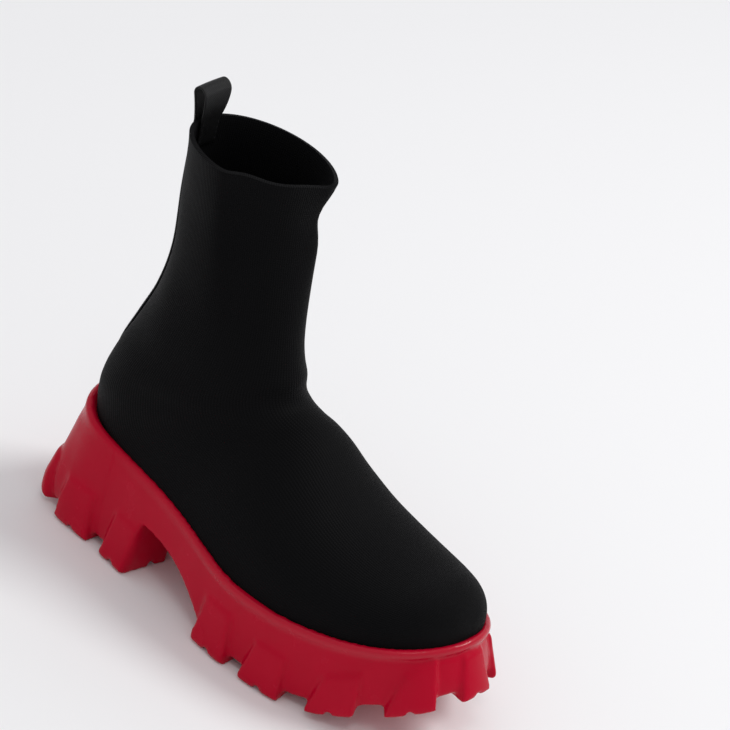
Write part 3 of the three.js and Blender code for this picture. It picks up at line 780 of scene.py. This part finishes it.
def make_lug(start, end, back, front, lug):
    """A tread block whose outer face climbs the wall and draws in towards its top."""
    span = end - start
    loops = []
    for i in range(LUG_STEPS + 1):
        low = mix(start, end, i / LUG_STEPS)
        high = mix(start + back * span, end - front * span, i / LUG_STEPS)
        ground = tread_height(spread_point(low, 1, 0)[0])
        roof = ground + LUG_HEIGHT * lug["tall"]
        inner = -LUG_DEPTH * lug["depth"]

        def base(out, z):
            flat = spread_point(low, 1, out)
            return (flat[0], flat[1], z)

        loops.append([
            base(inner, ground),
            base(LUG_PROUD - LUG_CHAMFER, ground),
            base(LUG_PROUD, ground + LUG_CHAMFER),
            wall_point(high, roof - LUG_CHAMFER, LUG_TOP_PROUD),
            wall_point(high, roof, LUG_TOP_PROUD - LUG_CHAMFER),
            wall_point(high, roof, -LUG_PROUD),
            base(inner, ground + TREAD_DEPTH * 2),
        ])
    return stack_object("lug", loops)


def make_groove(place, run, half_length, ground):
    """A small groove across a ground face, in plan along one direction."""
    place, run, side = np.array(place), np.array(run), np.array([-run[1], run[0]])
    flat = [place + run * a * half_length + side * b * NOTCH_WIDTH / 2 for a, b in SQUARE]
    heights = (ground - NOTCH_DEPTH, ground + NOTCH_DEPTH)
    return stack_object("groove", [[(x, y, z) for x, y in flat] for z in heights])


def make_notch(turn):
    """A groove in a lug's ground face, square to the sole's edge."""
    flat = spread_point(turn, 1, 0)
    return make_groove(flat, rim_normal(turn), LUG_DEPTH * 2, tread_height(flat[0]))


lugs, notches = [], []
for lug in SIDE_LUGS:
    start, end = turn_at(lug["from"]), turn_at(lug["to"])
    back, front = lug["back"], lug["front"]
    right = (start, end, back, front)
    left = (2 * math.pi - end, 2 * math.pi - start, front, back)
    for side in (right, left):
        lugs.append(make_lug(*side, lug))
        notches.append(make_notch(mix(side[0], side[1], 0.5)))
toe = turn_at(TOE_LUG["from"])
lugs.append(make_lug(toe, 2 * math.pi - toe, TOE_LUG["draw"], TOE_LUG["draw"], TOE_LUG))
notches.append(make_notch(math.pi))
for y in (-BREAST_GROOVE, BREAST_GROOVE):
    notches.append(make_groove((BREAST, y), (1, 0), LUG_DEPTH / 2, 0))
print(len(lugs), "lugs,", len(notches), "notches")

# %% [markdown]
# ### Joining the sole
# The order matters. The arch and the seat for the upper are cut from the body first, because the
# lugs stand beside those cuts. Then the lugs join, a first skin closes them all into one, and the
# notches are cut. Booleans leave long thin faces, so a second skin evens them out.
#
# A mould's edges are broader at the lugs and round the heel than at the bead, so these are
# smoothed further. Behind the heel the wall also stands a little further out and higher. Last,
# the bead is marked for its smoother finish.

# %% Cut and join


def remove(things):
    for thing in things:
        mesh = thing.data
        bpy.data.objects.remove(thing)
        bpy.data.meshes.remove(mesh)


def join(name, things):
    """One object that holds copies of several meshes, loose beside each other."""
    work = bmesh.new()
    for thing in things:
        work.from_mesh(thing.data)
    mesh = bpy.data.meshes.new(name)
    work.to_mesh(mesh)
    work.free()
    remove(things)
    return new_object(name, mesh)


def cut(thing, other, self_crossing=False):
    """Cuts one piece's room out of another, and removes the cutter."""
    settings = {"operation": "DIFFERENCE", "object": other, "solver": "EXACT", "use_self": self_crossing}
    modify(thing, "cut", "BOOLEAN", **settings)
    apply_modifiers(thing)
    remove([other])


cut(body, arch)
print("body with its arch:", len(body.data.vertices), "points")

# %% The seat for the upper
SEAT_STEPS = 4
SEAT_COLUMNS = 56
GRIP = 0.5


def seat_cutter():
    """The room for the upper: the last, drawn in a little so that the rubber grips the knit."""
    _, grid = last_grid(SEAT_STEPS, SEAT_COLUMNS)
    grid = grid - grid_normals(grid) * GRIP
    grid[:, :, 2] = np.maximum(grid[:, :, 2], np.vectorize(seat_height)(grid[:, :, 0]))
    return stack_object("seat_cutter", list(grid))


cut(body, seat_cutter())
sole = join("rubber_sole", [body] + lugs)
print("sole before its skin:", len(sole.data.vertices), "points")

# %% Skin the sole
REMESH = 0.92
SMOOTH_ROUNDS = 4


def remesh(thing, size, rounds):
    """An even closed skin over the mesh, with its edges softened."""
    modify(thing, "skin", "REMESH", mode="VOXEL", voxel_size=size / 1000)
    modify(thing, "soften", "SMOOTH", factor=0.5, iterations=rounds)
    apply_modifiers(thing)


remesh(sole, REMESH, 0)
cut(sole, join("notches", notches), self_crossing=True)
remesh(sole, REMESH, SMOOTH_ROUNDS)
print("skin of the sole:", triangles(sole), "triangles")

# %% Broader edges on the lugs and round the heel
LUG_ROUNDS = 22
LUG_SOFT = 12
HEEL_SOFT = 75
HEEL_LONG = 50


def measured(thing):
    """A piece's vertices in millimetres."""
    points = np.zeros(len(thing.data.vertices) * 3)
    thing.data.vertices.foreach_get("co", points)
    return points.reshape(-1, 3) * 1000 - ZERO


def below_rim(points):
    return np.vectorize(rim_height)(points[:, 0]) - points[:, 2]


def soften_lugs(thing, rounds):
    """More rounding below the bead and round the heel, where the mould's edges are broader."""
    points = measured(thing)
    lower = (below_rim(points) - LUG_SOFT) / BEAD_HEIGHT
    heel = (HEEL_SOFT - points[:, 0]) / HEEL_LONG
    group = thing.vertex_groups.new(name="lugs")
    for i, share in enumerate(np.clip(np.maximum(lower, heel), 0, 1)):
        group.add([i], float(share), "REPLACE")
    modify(thing, "lug_edges", "SMOOTH", factor=0.5, iterations=rounds, vertex_group="lugs")
    apply_modifiers(thing)
    thing.vertex_groups.clear()


soften_lugs(sole, LUG_ROUNDS)
print("lowest lug at", measured(sole)[:, 2].min().round(2), "mm")

# %% Set the heel's wall back
HEEL_PUSH = 3.6
HEEL_RAISE = 2.5
HEEL_WHOLE = 1.15
HEEL_TALL = 20


def settle_heel(thing):
    """Behind the heel the wall stands further out over its lugs, and the rim leaves the knit."""
    points = measured(thing)
    facing = np.zeros(points.size)
    thing.data.vertices.foreach_get("normal", facing)
    near = points[:, 0] < HEEL_LONG
    spot, face = points[near], facing.reshape(-1, 3)[near]
    away = spot[:, :2] - np.array([HEEL_LONG, 0])
    away /= np.linalg.norm(away, axis=1)[:, None]
    below = below_rim(spot)
    back = soft_step(HEEL_WHOLE - spot[:, 0] / HEEL_LONG)
    outside = np.clip(np.maximum((face[:, :2] * away).sum(axis=1), 1 - below / BEAD_HEIGHT), 0, 1)
    push = HEEL_PUSH * back * soft_step(spot[:, 2] / HEEL_TALL) * outside
    spot[:, :2] += away * push[:, None]
    spot[:, 2] += HEEL_RAISE * back * soft_step(1 - below / HEEL_TALL)
    points[near] = spot
    thing.data.vertices.foreach_set("co", to_frame(points).ravel())
    thing.data.update()
    print("heel set back by", round(float(push.max()), 1), "mm at most")


settle_heel(sole)

# %% Thin out and polish
MOST_TRIANGLES = 190000
POLISH_REACH = 1.6


def thin_out(thing, most):
    """Takes triangles away where the surface is flattest, down to a number of them."""
    count = triangles(thing)
    print(thing.name, "skin has", count, "triangles")
    if count > most:
        modify(thing, "thin", "DECIMATE", ratio=most / count)
        apply_modifiers(thing)


def polish_bead(thing):
    """Marks the bead, which comes out of the mould smoother than the wall below it."""
    points = measured(thing)
    bead = np.vectorize(plan_bead, otypes=[float])(np.clip(points[:, 0] / SOLE_LENGTH, 0, 1))
    marks = soft_step(POLISH_REACH - below_rim(points) / BEAD_HEIGHT) * bead
    thing.data.attributes.new("polish", "FLOAT", "POINT").data.foreach_set("value", marks)


thin_out(sole, MOST_TRIANGLES)
polish_bead(sole)
smooth(sole)
finish_piece(sole, RUBBER, "sole_rubber", "unit_sole")

# %% [markdown]
# ## The upper
# A knitted sock has no panels. What gives it life are soft folds: where the ankle bends, above
# the heel, and where the shaft meets the instep. Each one is a named trough or ridge placed on
# the last by its section and by its turn round it, and it moves the cloth by about a millimetre.
# Only the hollow under the collar's corner is deeper. The collar is pressed flatter at its front
# right, and the ankle's bend is rounded.

# %% Folds of the knit
FOLD_COLUMNS = ("name", "order", "turn", "tall", "wide", "tilt", "depth")
FOLDS = [dict(zip(FOLD_COLUMNS, row)) for row in (
    ("ankle bend", 6.7, 0.00, 1.00, 0.42, 0.0, -0.4),
    ("instep swell", 9.3, 0.02, 1.10, 0.34, 0.0, 0.5),
    ("above the bend", 4.9, -0.06, 0.60, 0.36, 0.5, 0.8),
    ("heel cord ridge", 2.9, 0.72, 0.75, 0.12, -1.5, 1.1),
    ("heel cord trough", 4.6, 0.70, 0.60, 0.16, -2.4, -1.5),
    ("ankle bone, right", 5.4, 0.56, 0.60, 0.18, -2.0, 1.0),
    ("under the bone, right", 6.6, 0.48, 0.50, 0.20, -2.2, -0.8),
    ("heel cord, left", 4.4, -0.72, 0.60, 0.16, 2.2, -1.3),
    ("ankle bone, left", 5.2, -0.56, 0.60, 0.20, 2.0, 1.1),
    ("shaft, right side", 1.7, 0.36, 1.10, 0.16, 1.2, -0.7),
    ("shaft, left side", 1.8, -0.40, 1.00, 0.16, -0.8, -0.6),
    ("under the collar's corner", 0.55, -0.15, 0.32, 0.16, 0.0, -4.5),
    ("toe break", 12.3, 0.00, 0.70, 0.30, 0.0, -0.5),
)]


def fold_depth(order, turn):
    """How far the folds move the cloth out. Turn is 0 in front, 1 behind, above 0 on the right."""
    moved = np.zeros(np.broadcast(order, turn).shape)
    for fold in FOLDS:
        away = (turn - fold["turn"] + 1) % 2 - 1
        up = (order - fold["order"] - fold["tilt"] * away) / fold["tall"]
        moved += fold["depth"] * np.exp(-(up**2) - (away / fold["wide"]) ** 2)
    return moved


print(len(FOLDS), "folds")

# %% The collar's press and the ankle's bend
FULL_STEPS = 8
ROW_STEPS = FULL_STEPS
COLLAR_WAVES = 7
COLLAR_WAVE = 0.4
COLLAR_PRESS = 14.0
COLLAR_SIDE = 0.17
COLLAR_SPREAD = 0.258
COLLAR_REACH = 2.0
COLLAR_INWARD = (-0.81, 0.58)
BEND_AT = 5.2
BEND_LONG = 1.5
BEND_WIDE = 0.45
BEND_ROUNDS = 24


def settle_collar(grid, orders, turn):
    """The soft collar is pressed flatter at its front right, where its edge also waves."""
    away = np.abs((turn - COLLAR_SIDE + 1) % 2 - 1)
    side = np.exp(-((away / COLLAR_SPREAD) ** 4))
    fade = np.exp(-((orders / COLLAR_REACH) ** 2))[:, None]
    for axis in (0, 1):
        grid[:, :, axis] += COLLAR_INWARD[axis] * COLLAR_PRESS * fade * side
    grid[:, :, 2] += COLLAR_WAVE * np.sin(turn * math.pi * COLLAR_WAVES) * fade * side


def round_bend(grid, orders, turn):
    """The cloth takes the ankle's bend in a round, with no corner between two sections."""
    lengthwise = np.exp(-(((orders - BEND_AT) / BEND_LONG) ** 4))[1:-1, None, None]
    share = 0.5 * lengthwise * np.exp(-((turn / BEND_WIDE) ** 2))[None, :, None]
    for _ in range(max(round(BEND_ROUNDS * (ROW_STEPS / FULL_STEPS) ** 2), 1)):
        grid[1:-1] += share * ((grid[:-2] + grid[2:]) / 2 - grid[1:-1])


print("rows from one section to the next:", ROW_STEPS)

# %% The cloth's shape
HALF_COLUMNS = 84
COLLAR_SWELL = 0.45
COLLAR_EDGE = 0.12
COUNTER_TOP = 98.5
COUNTER_STEP = 0.45
COUNTER_SOFT = 2.0
COUNTER_FRONT = 96


def shape_cloth():
    """The last's grid with its folds, and which of its points are under the seat."""
    orders, grid = last_grid(ROW_STEPS, HALF_COLUMNS)
    turn = 1 - np.arange(grid.shape[1]) / grid.shape[1] * 2
    settle_collar(grid, orders, turn)
    round_bend(grid, orders, turn)
    moved = fold_depth(orders[:, None], turn[None, :])
    moved += COLLAR_SWELL * np.exp(-((orders[:, None] / COLLAR_EDGE) ** 2))
    under_top = (COUNTER_TOP - grid[:, :, 2]) / COUNTER_SOFT
    behind_front = (COUNTER_FRONT - grid[:, :, 0]) / (COUNTER_SOFT * 4)
    moved += COUNTER_STEP / (1 + np.exp(-under_top)) / (1 + np.exp(-behind_front))
    grid = grid + grid_normals(grid) * moved[:, :, None]
    seat = np.vectorize(seat_height)(grid[:, :, 0]) + GAP
    buried = grid[:, :, 2] < seat
    grid[:, :, 2] = np.maximum(grid[:, :, 2], seat)
    return grid, buried


cloth, under_seat = shape_cloth()
print("cloth:", cloth.shape[:2], "points,", int(under_seat.sum()), "under the seat")

# %% Faces of the cloth


def cloth_faces(buried):
    """Faces down the grid, apart from those under the seat, and a fan over its toe."""
    rows, columns = buried.shape
    faces, marks = grid_faces(rows, columns)
    shown = [n for n, face in enumerate(faces) if not buried.ravel()[list(face)].all()]
    faces, marks = [faces[n] for n in shown], [marks[n] for n in shown]
    end = (rows - 1) * columns
    for j in range(columns):
        faces.append((end + j, end + (j + 1) % columns, rows * columns))
        marks.append([(j, rows - 1), (j + 1, rows - 1), (j, rows - 1)])
    return faces, marks


def cloth_mesh(name, points, faces, places):
    """A mesh from points in millimetres, with a place on the cloth for each corner of a face."""
    mesh = bpy.data.meshes.new(name)
    mesh.from_pydata([tuple(p) for p in to_frame(points)], [], faces)
    mesh.uv_layers.new(name="cloth").data.foreach_set("uv", np.ravel(places))
    return mesh


print("faces of the cloth:", len(cloth_faces(under_seat)[0]))

# %% The knitted upper
COLLAR_MIDDLE = 40
LIP = 1.1


def face_out(mesh):
    """Drops loose points, and turns an open shaft's faces away from its middle."""
    work = bmesh.new()
    work.from_mesh(mesh)
    bmesh.ops.delete(work, geom=[v for v in work.verts if not v.link_faces], context="VERTS")
    bmesh.ops.recalc_face_normals(work, faces=work.faces)
    top = max(work.verts, key=lambda v: v.co.z)
    facing = 0
    for face in top.link_faces:
        centre = face.calc_center_median()
        facing += face.normal.dot(centre - Vector((top.co.x + COLLAR_MIDDLE / 1000, 0, centre.z)))
    if facing < 0:
        bmesh.ops.reverse_faces(work, faces=work.faces)
    work.to_mesh(mesh)
    work.free()


def make_upper(grid, buried):
    columns = grid.shape[1]
    travelled = np.zeros(grid.shape[:2])
    travelled[1:] = np.cumsum(np.linalg.norm(np.diff(grid, axis=0), axis=2), axis=0)
    points = np.vstack([grid.reshape(-1, 3), grid[-1].mean(axis=0)])
    faces, marks = cloth_faces(buried)
    places = []
    for mark in marks:
        places += [(j / columns * WALE_COUNT, travelled[i, j % columns] / COURSE) for j, i in mark]
    mesh = cloth_mesh("knit_upper", points, faces, places)
    face_out(mesh)
    thing = new_object("knit_upper", mesh)
    modify(thing, "wall", "SOLIDIFY", thickness=WALL / 1000, offset=-1, use_even_offset=True)
    round_edges(thing, LIP, 4)
    apply_modifiers(thing)
    smooth(thing)
    return thing


upper = make_upper(cloth, under_seat)
finish_piece(upper, KNIT, "upper_knit", "upper")

# %% [markdown]
# ## The insole
# The insole is a thin cloth-covered board on the seat. Only its middle shows, down inside the
# collar, so the plain solid gives its outline, and a remesh rounds its edges.

# %% The insole
INSOLE_SKIN = 1.6


def make_insole():
    mesh = frame["nodes"]["insole"].data.copy()
    thing = new_object("insole_board", mesh)
    work = bmesh.new()
    work.from_mesh(mesh)
    bmesh.ops.remove_doubles(work, verts=work.verts, dist=1e-5)
    work.to_mesh(mesh)
    work.free()
    remesh(thing, INSOLE_SKIN, 3)
    smooth(thing)
    return thing


insole = make_insole()
finish_piece(insole, LINING, "insole_cloth", "insole")

# %% [markdown]
# ## The back tape and pull loop
# One band of webbing runs up the back, stands up as a loop above the collar and goes down
# inside it. Its line is worked out in the side view, and each station spreads it across the
# band, curved as the back of the shaft is.

# %% Stations up the back
TAPE_ROWS = 12
BACK_END = 8


def section_sag(section, y):
    """How far the back of a section has curved forward at a place across it."""
    f = section_frame(section)
    across = np.minimum(np.abs(y) / f["half"], 1)
    return f["widest"] * (1 - (1 - across ** section["round"]) ** (1 / section["round"]))


def back_stations():
    """Up the back of the upper, from the bead to the collar: place, outward direction, section."""
    rim_top = rim_height(HEEL_SETBACK) + 2 * GAP
    sections = [section_at(o / TAPE_ROWS) for o in range(BACK_END * TAPE_ROWS)]
    rows = [section for section in reversed(sections) if section["bz"] > rim_top]
    stations = []
    for i, section in enumerate(rows):
        under, over = rows[max(i - 1, 0)], rows[min(i + 1, len(rows) - 1)]
        run = np.array([over["bx"] - under["bx"], over["bz"] - under["bz"]])
        run = run / np.hypot(*run)
        f = section_frame(section)
        stations.append({
            "x": section["bx"], "z": section["bz"], "out": (-run[1], run[0]),
            "sag": section, "lean": (f["ex"], f["ez"]), "curve": 1, "twist": 0, "pinch": 0,
        })
    return stations


BACK_STATIONS = back_stations()
print(len(BACK_STATIONS), "stations up the back")

# %% Stations of the loop
LOOP_ROWS = 24
RISE_ROWS = 8
TAIL_ROWS = 6
LOOP_TWIST = 0.14
LOOP_PINCH = 0.45
PINCH_CURVE = 1.5
COLLAR = section_at(0)


def loop_stations():
    """Up from the collar's back, over, and down inside it."""
    reach = LOOP_DEPTH / 2 - TAPE - GAP
    outside, inside = COLLAR["bx"], COLLAR["bx"] + WALL + 2 * GAP
    middle = (outside + inside) / 2
    crown = LOOP_HEIGHT - reach - TAPE - GAP
    line = []
    for i in range(1, RISE_ROWS):
        share = i / RISE_ROWS
        line.append((mix(outside, middle - reach, share), crown * share, math.pi, 0))
    for i in range(LOOP_ROWS + 1):
        angle = math.pi * (1 - i / LOOP_ROWS)
        line.append((middle + reach * math.cos(angle), crown + reach * math.sin(angle), angle, 0))
    for i in range(RISE_ROWS - 1, -1, -1):
        share = i / RISE_ROWS
        pinch = LOOP_PINCH * (1 - share) ** PINCH_CURVE
        line.append((mix(inside, middle + reach, share), crown * share, 0, pinch))
    for i in range(1, TAIL_ROWS + 1):
        line.append((inside, -LOOP_TAIL * i / TAIL_ROWS, 0, LOOP_PINCH))
    stations = []
    for x, rise, angle, pinch in line:
        height = max(rise, 0) / LOOP_HEIGHT
        stations.append({
            "x": x + LOOP_LEAN * height**2, "z": COLLAR["bz"] + rise,
            "out": (math.cos(angle), math.sin(angle)), "sag": COLLAR, "lean": (1, 0),
            "curve": 1 - LOOP_FLATTEN * height, "twist": LOOP_TWIST * height, "pinch": pinch,
        })
    return stations


LOOP_STATIONS = loop_stations()


def band_point(station, y, out):
    """A point of the band: across it by y, and off the upper by out."""
    y = y * (1 - station["pinch"] * (y > 0))
    sag = float(section_sag(station["sag"], y)) * station["curve"]
    x = station["x"] + station["lean"][0] * sag + station["out"][0] * out
    z = station["z"] + station["lean"][1] * sag + station["out"][1] * out + station["twist"] * y
    return np.array([x, y, z])


print(len(BACK_STATIONS + LOOP_STATIONS), "stations along the webbing")

# %% The webbing
BAND_COLUMNS = 20
BAND_EDGE = 0.4
BAND_CREASE = 50


def make_band():
    across = np.linspace(-TAPE_WIDTH / 2, TAPE_WIDTH / 2, BAND_COLUMNS + 1)
    rows = BACK_STATIONS + LOOP_STATIONS
    grid = np.array([[band_point(s, y, GAP + TAPE / 2) for y in across] for s in rows])
    middle = grid[:, BAND_COLUMNS // 2]
    travelled = np.concatenate([[0], np.cumsum(np.linalg.norm(np.diff(middle, axis=0), axis=1))])
    faces, marks = grid_faces(len(grid), BAND_COLUMNS + 1, wrap=False)
    places = [(across[j], travelled[i]) for mark in marks for j, i in mark]
    mesh = cloth_mesh("webbing_tape_loop", grid.reshape(-1, 3), faces, places)
    thing = new_object("webbing_tape_loop", mesh)
    modify(thing, "thick", "SOLIDIFY", thickness=TAPE / 1000, offset=0)
    round_edges(thing, BAND_EDGE, 2)
    apply_modifiers(thing)
    smooth(thing, BAND_CREASE)
    return thing


band = make_band()
finish_piece(band, WEBBING, "webbing", "back_tape_loop")

# %% [markdown]
# ### Stitches
# The band is sewn down along both edges, and across at the collar. A stitch repeats along a
# path, which is what Geometry Nodes do well: the path is cut into equal steps, one short rounded
# stitch goes on each, turned along the path, and the instances become a plain mesh.

# %% Stitching tree
STITCH_PITCH = 2.6
STITCH_LENGTH = 1.9
STITCH_RADIUS = 0.28


def make_stitch_tree():
    tree = bpy.data.node_groups.new("stitches_on_a_path", "GeometryNodeTree")
    socket = tree.interface.new_socket
    socket("Geometry", in_out="INPUT", socket_type="NodeSocketGeometry")
    kinds = {"Pitch": "Float", "Length": "Float", "Radius": "Float", "Thread": "Material"}
    inputs = {}
    for name, kind in kinds.items():
        inputs[name] = socket(name, in_out="INPUT", socket_type="NodeSocket" + kind).identifier
    socket("Geometry", in_out="OUTPUT", socket_type="NodeSocketGeometry")
    nodes = tree.nodes
    given, result = nodes.new("NodeGroupInput"), nodes.new("NodeGroupOutput")
    path = nodes.new("GeometryNodeMeshToCurve")
    steps = add(nodes, "GeometryNodeCurveToPoints", mode="LENGTH")
    ball = add(nodes, "GeometryNodeMeshUVSphere", Segments=8, Rings=6, Radius=1.0)
    half = add(nodes, "ShaderNodeMath", operation="MULTIPLY")
    half.inputs[1].default_value = 0.5
    size = nodes.new("ShaderNodeCombineXYZ")
    turn = add(nodes, "FunctionNodeAlignEulerToVector", axis="Z")
    put = nodes.new("GeometryNodeInstanceOnPoints")
    real = nodes.new("GeometryNodeRealizeInstances")
    dye = nodes.new("GeometryNodeSetMaterial")
    for source, output, target, into in (
        (given, "Geometry", path, "Mesh"),
        (path, "Curve", steps, "Curve"),
        (given, "Pitch", steps, "Length"),
        (given, "Length", half, 0),
        (given, "Radius", size, "X"),
        (given, "Radius", size, "Y"),
        (half, 0, size, "Z"),
        (steps, "Tangent", turn, "Vector"),
        (steps, "Points", put, "Points"),
        (ball, "Mesh", put, "Instance"),
        (turn, "Rotation", put, "Rotation"),
        (size, "Vector", put, "Scale"),
        (put, "Instances", real, "Geometry"),
        (real, "Geometry", dye, "Geometry"),
        (given, "Thread", dye, "Material"),
        (dye, "Geometry", result, "Geometry"),
    ):
        tree.links.new(source.outputs[output], target.inputs[into])
    return tree, inputs


STITCH_TREE, STITCH_INPUTS = make_stitch_tree()
print("stitch tree has", len(STITCH_TREE.nodes), "nodes")

# %% Sewing along paths


def sew(name, paths):
    """Stitches along open paths of points in millimetres, as one plain mesh."""
    points, edges = [], []
    for path in paths:
        first = len(points)
        points += [tuple(p) for p in to_frame(path)]
        edges += [(first + i, first + i + 1) for i in range(len(path) - 1)]
    mesh = bpy.data.meshes.new(name)
    mesh.from_pydata(points, edges, [])
    thing = new_object(name, mesh)
    modifier = thing.modifiers.new("stitches", "NODES")
    modifier.node_group = STITCH_TREE
    for size, value in (("Pitch", STITCH_PITCH), ("Length", STITCH_LENGTH), ("Radius", STITCH_RADIUS)):
        modifier[STITCH_INPUTS[size]] = value / 1000
    modifier[STITCH_INPUTS["Thread"]] = THREAD
    apply_modifiers(thing)
    smooth(thing)
    return thing


print("pitch", STITCH_PITCH, "mm")

# %% Sew the band
STITCH_INSET = 1.8
STITCH_LIFT = 0.05
CROSS_DROPS = (4, 8)
CROSS_POINTS = 12
TAIL_DROP = 2
stitch_top = GAP + TAPE + STITCH_LIFT
edge_y = TAPE_WIDTH / 2 - STITCH_INSET
paths = [[band_point(s, side * edge_y, stitch_top) for s in BACK_STATIONS[2:-2]] for side in (-1, 1)]
for drop in CROSS_DROPS:
    row = min(BACK_STATIONS, key=lambda s: abs(s["z"] - (COLLAR["bz"] - drop)))
    paths.append([band_point(row, y, stitch_top) for y in np.linspace(-edge_y, edge_y, CROSS_POINTS)])
tail_rows = [s for s in LOOP_STATIONS if s["z"] < COLLAR["bz"] - TAIL_DROP]
paths += [[band_point(s, side * edge_y, stitch_top) for s in tail_rows[:-1]] for side in (-1, 1)]
seams = sew("webbing_stitches", paths)
finish_piece(seams, THREAD, "webbing")

# %% [markdown]
# ## Floor, light and camera
# The boot stands on a pale floor in soft studio light: a big light above the toe on the far
# side, a small one over the camera and a weak one behind the heel. The camera has the
# photograph's own angle to this boot. It looks down by about thirty degrees and is rolled, so
# the boot leans to the right in the picture.

# %% The floor
FLOOR_SIZE = 8.0


def make_floor():
    half = FLOOR_SIZE / 2
    corners = [(-half, -half, 0), (half, -half, 0), (half, half, 0), (-half, half, 0)]
    thing = mesh_from("floor", corners, [(0, 1, 2, 3)])
    pale = Recipe("pale_floor", Base_Color=(0.88, 0.88, 0.88, 1), Roughness=0.9, Specular_IOR_Level=0.1)
    thing.data.materials.append(pale.material)
    return thing


floor = make_floor()
print(floor.name)

# %% Soft light
BOOT_MIDDLE = Vector((0, 0, 0.1))


def area_light(name, place, size, power):
    light = bpy.data.lights.new(name, "AREA")
    light.shape = "DISK"
    light.size = size
    light.energy = power
    thing = new_object(name, light)
    thing.location = place
    thing.rotation_euler = (BOOT_MIDDLE - Vector(place)).to_track_quat("-Z", "Y").to_euler()
    return thing


area_light("key_light", (1.3, 1.3, 2.3), 1.15, 38)
area_light("side_light", (-1.9, -0.5, 1.1), 1.2, 1.5)
area_light("front_light", (0.8, -1.0, 2.4), 0.6, 5)
world = bpy.data.worlds.new("studio")
world.use_nodes = True
world.node_tree.nodes["Background"].inputs["Color"].default_value = (0.97, 0.97, 1.0, 1)
world.node_tree.nodes["Background"].inputs["Strength"].default_value = 0.64
bpy.context.scene.world = world
bpy.context.scene.view_settings.view_transform = "Standard"

# %% Camera
CAMERA_AT = (802.6, -959.5, 807.9)
PICTURE_RIGHT = (0.73546, 0.63892, 0.22557)
PICTURE_UP = (-0.47462, 0.24819, 0.84448)
FOCAL_PIXELS = 2607.3
PICTURE_PIXELS = 730
SENSOR = 36.0


def make_camera():
    camera = bpy.data.cameras.new("camera")
    camera.sensor_width = SENSOR
    camera.lens = FOCAL_PIXELS / PICTURE_PIXELS * SENSOR
    camera.clip_end = 100
    thing = new_object("camera", camera)
    right = Vector(PICTURE_RIGHT).normalized()
    back = right.cross(Vector(PICTURE_UP)).normalized()
    up = back.cross(right)
    turned = Matrix((right, up, back)).transposed().to_4x4()
    turned.translation = Vector(to_frame(CAMERA_AT))
    thing.matrix_world = turned
    bpy.context.scene.camera = thing
    return thing


camera = make_camera()
print("lens", round(camera.data.lens, 1), "mm")
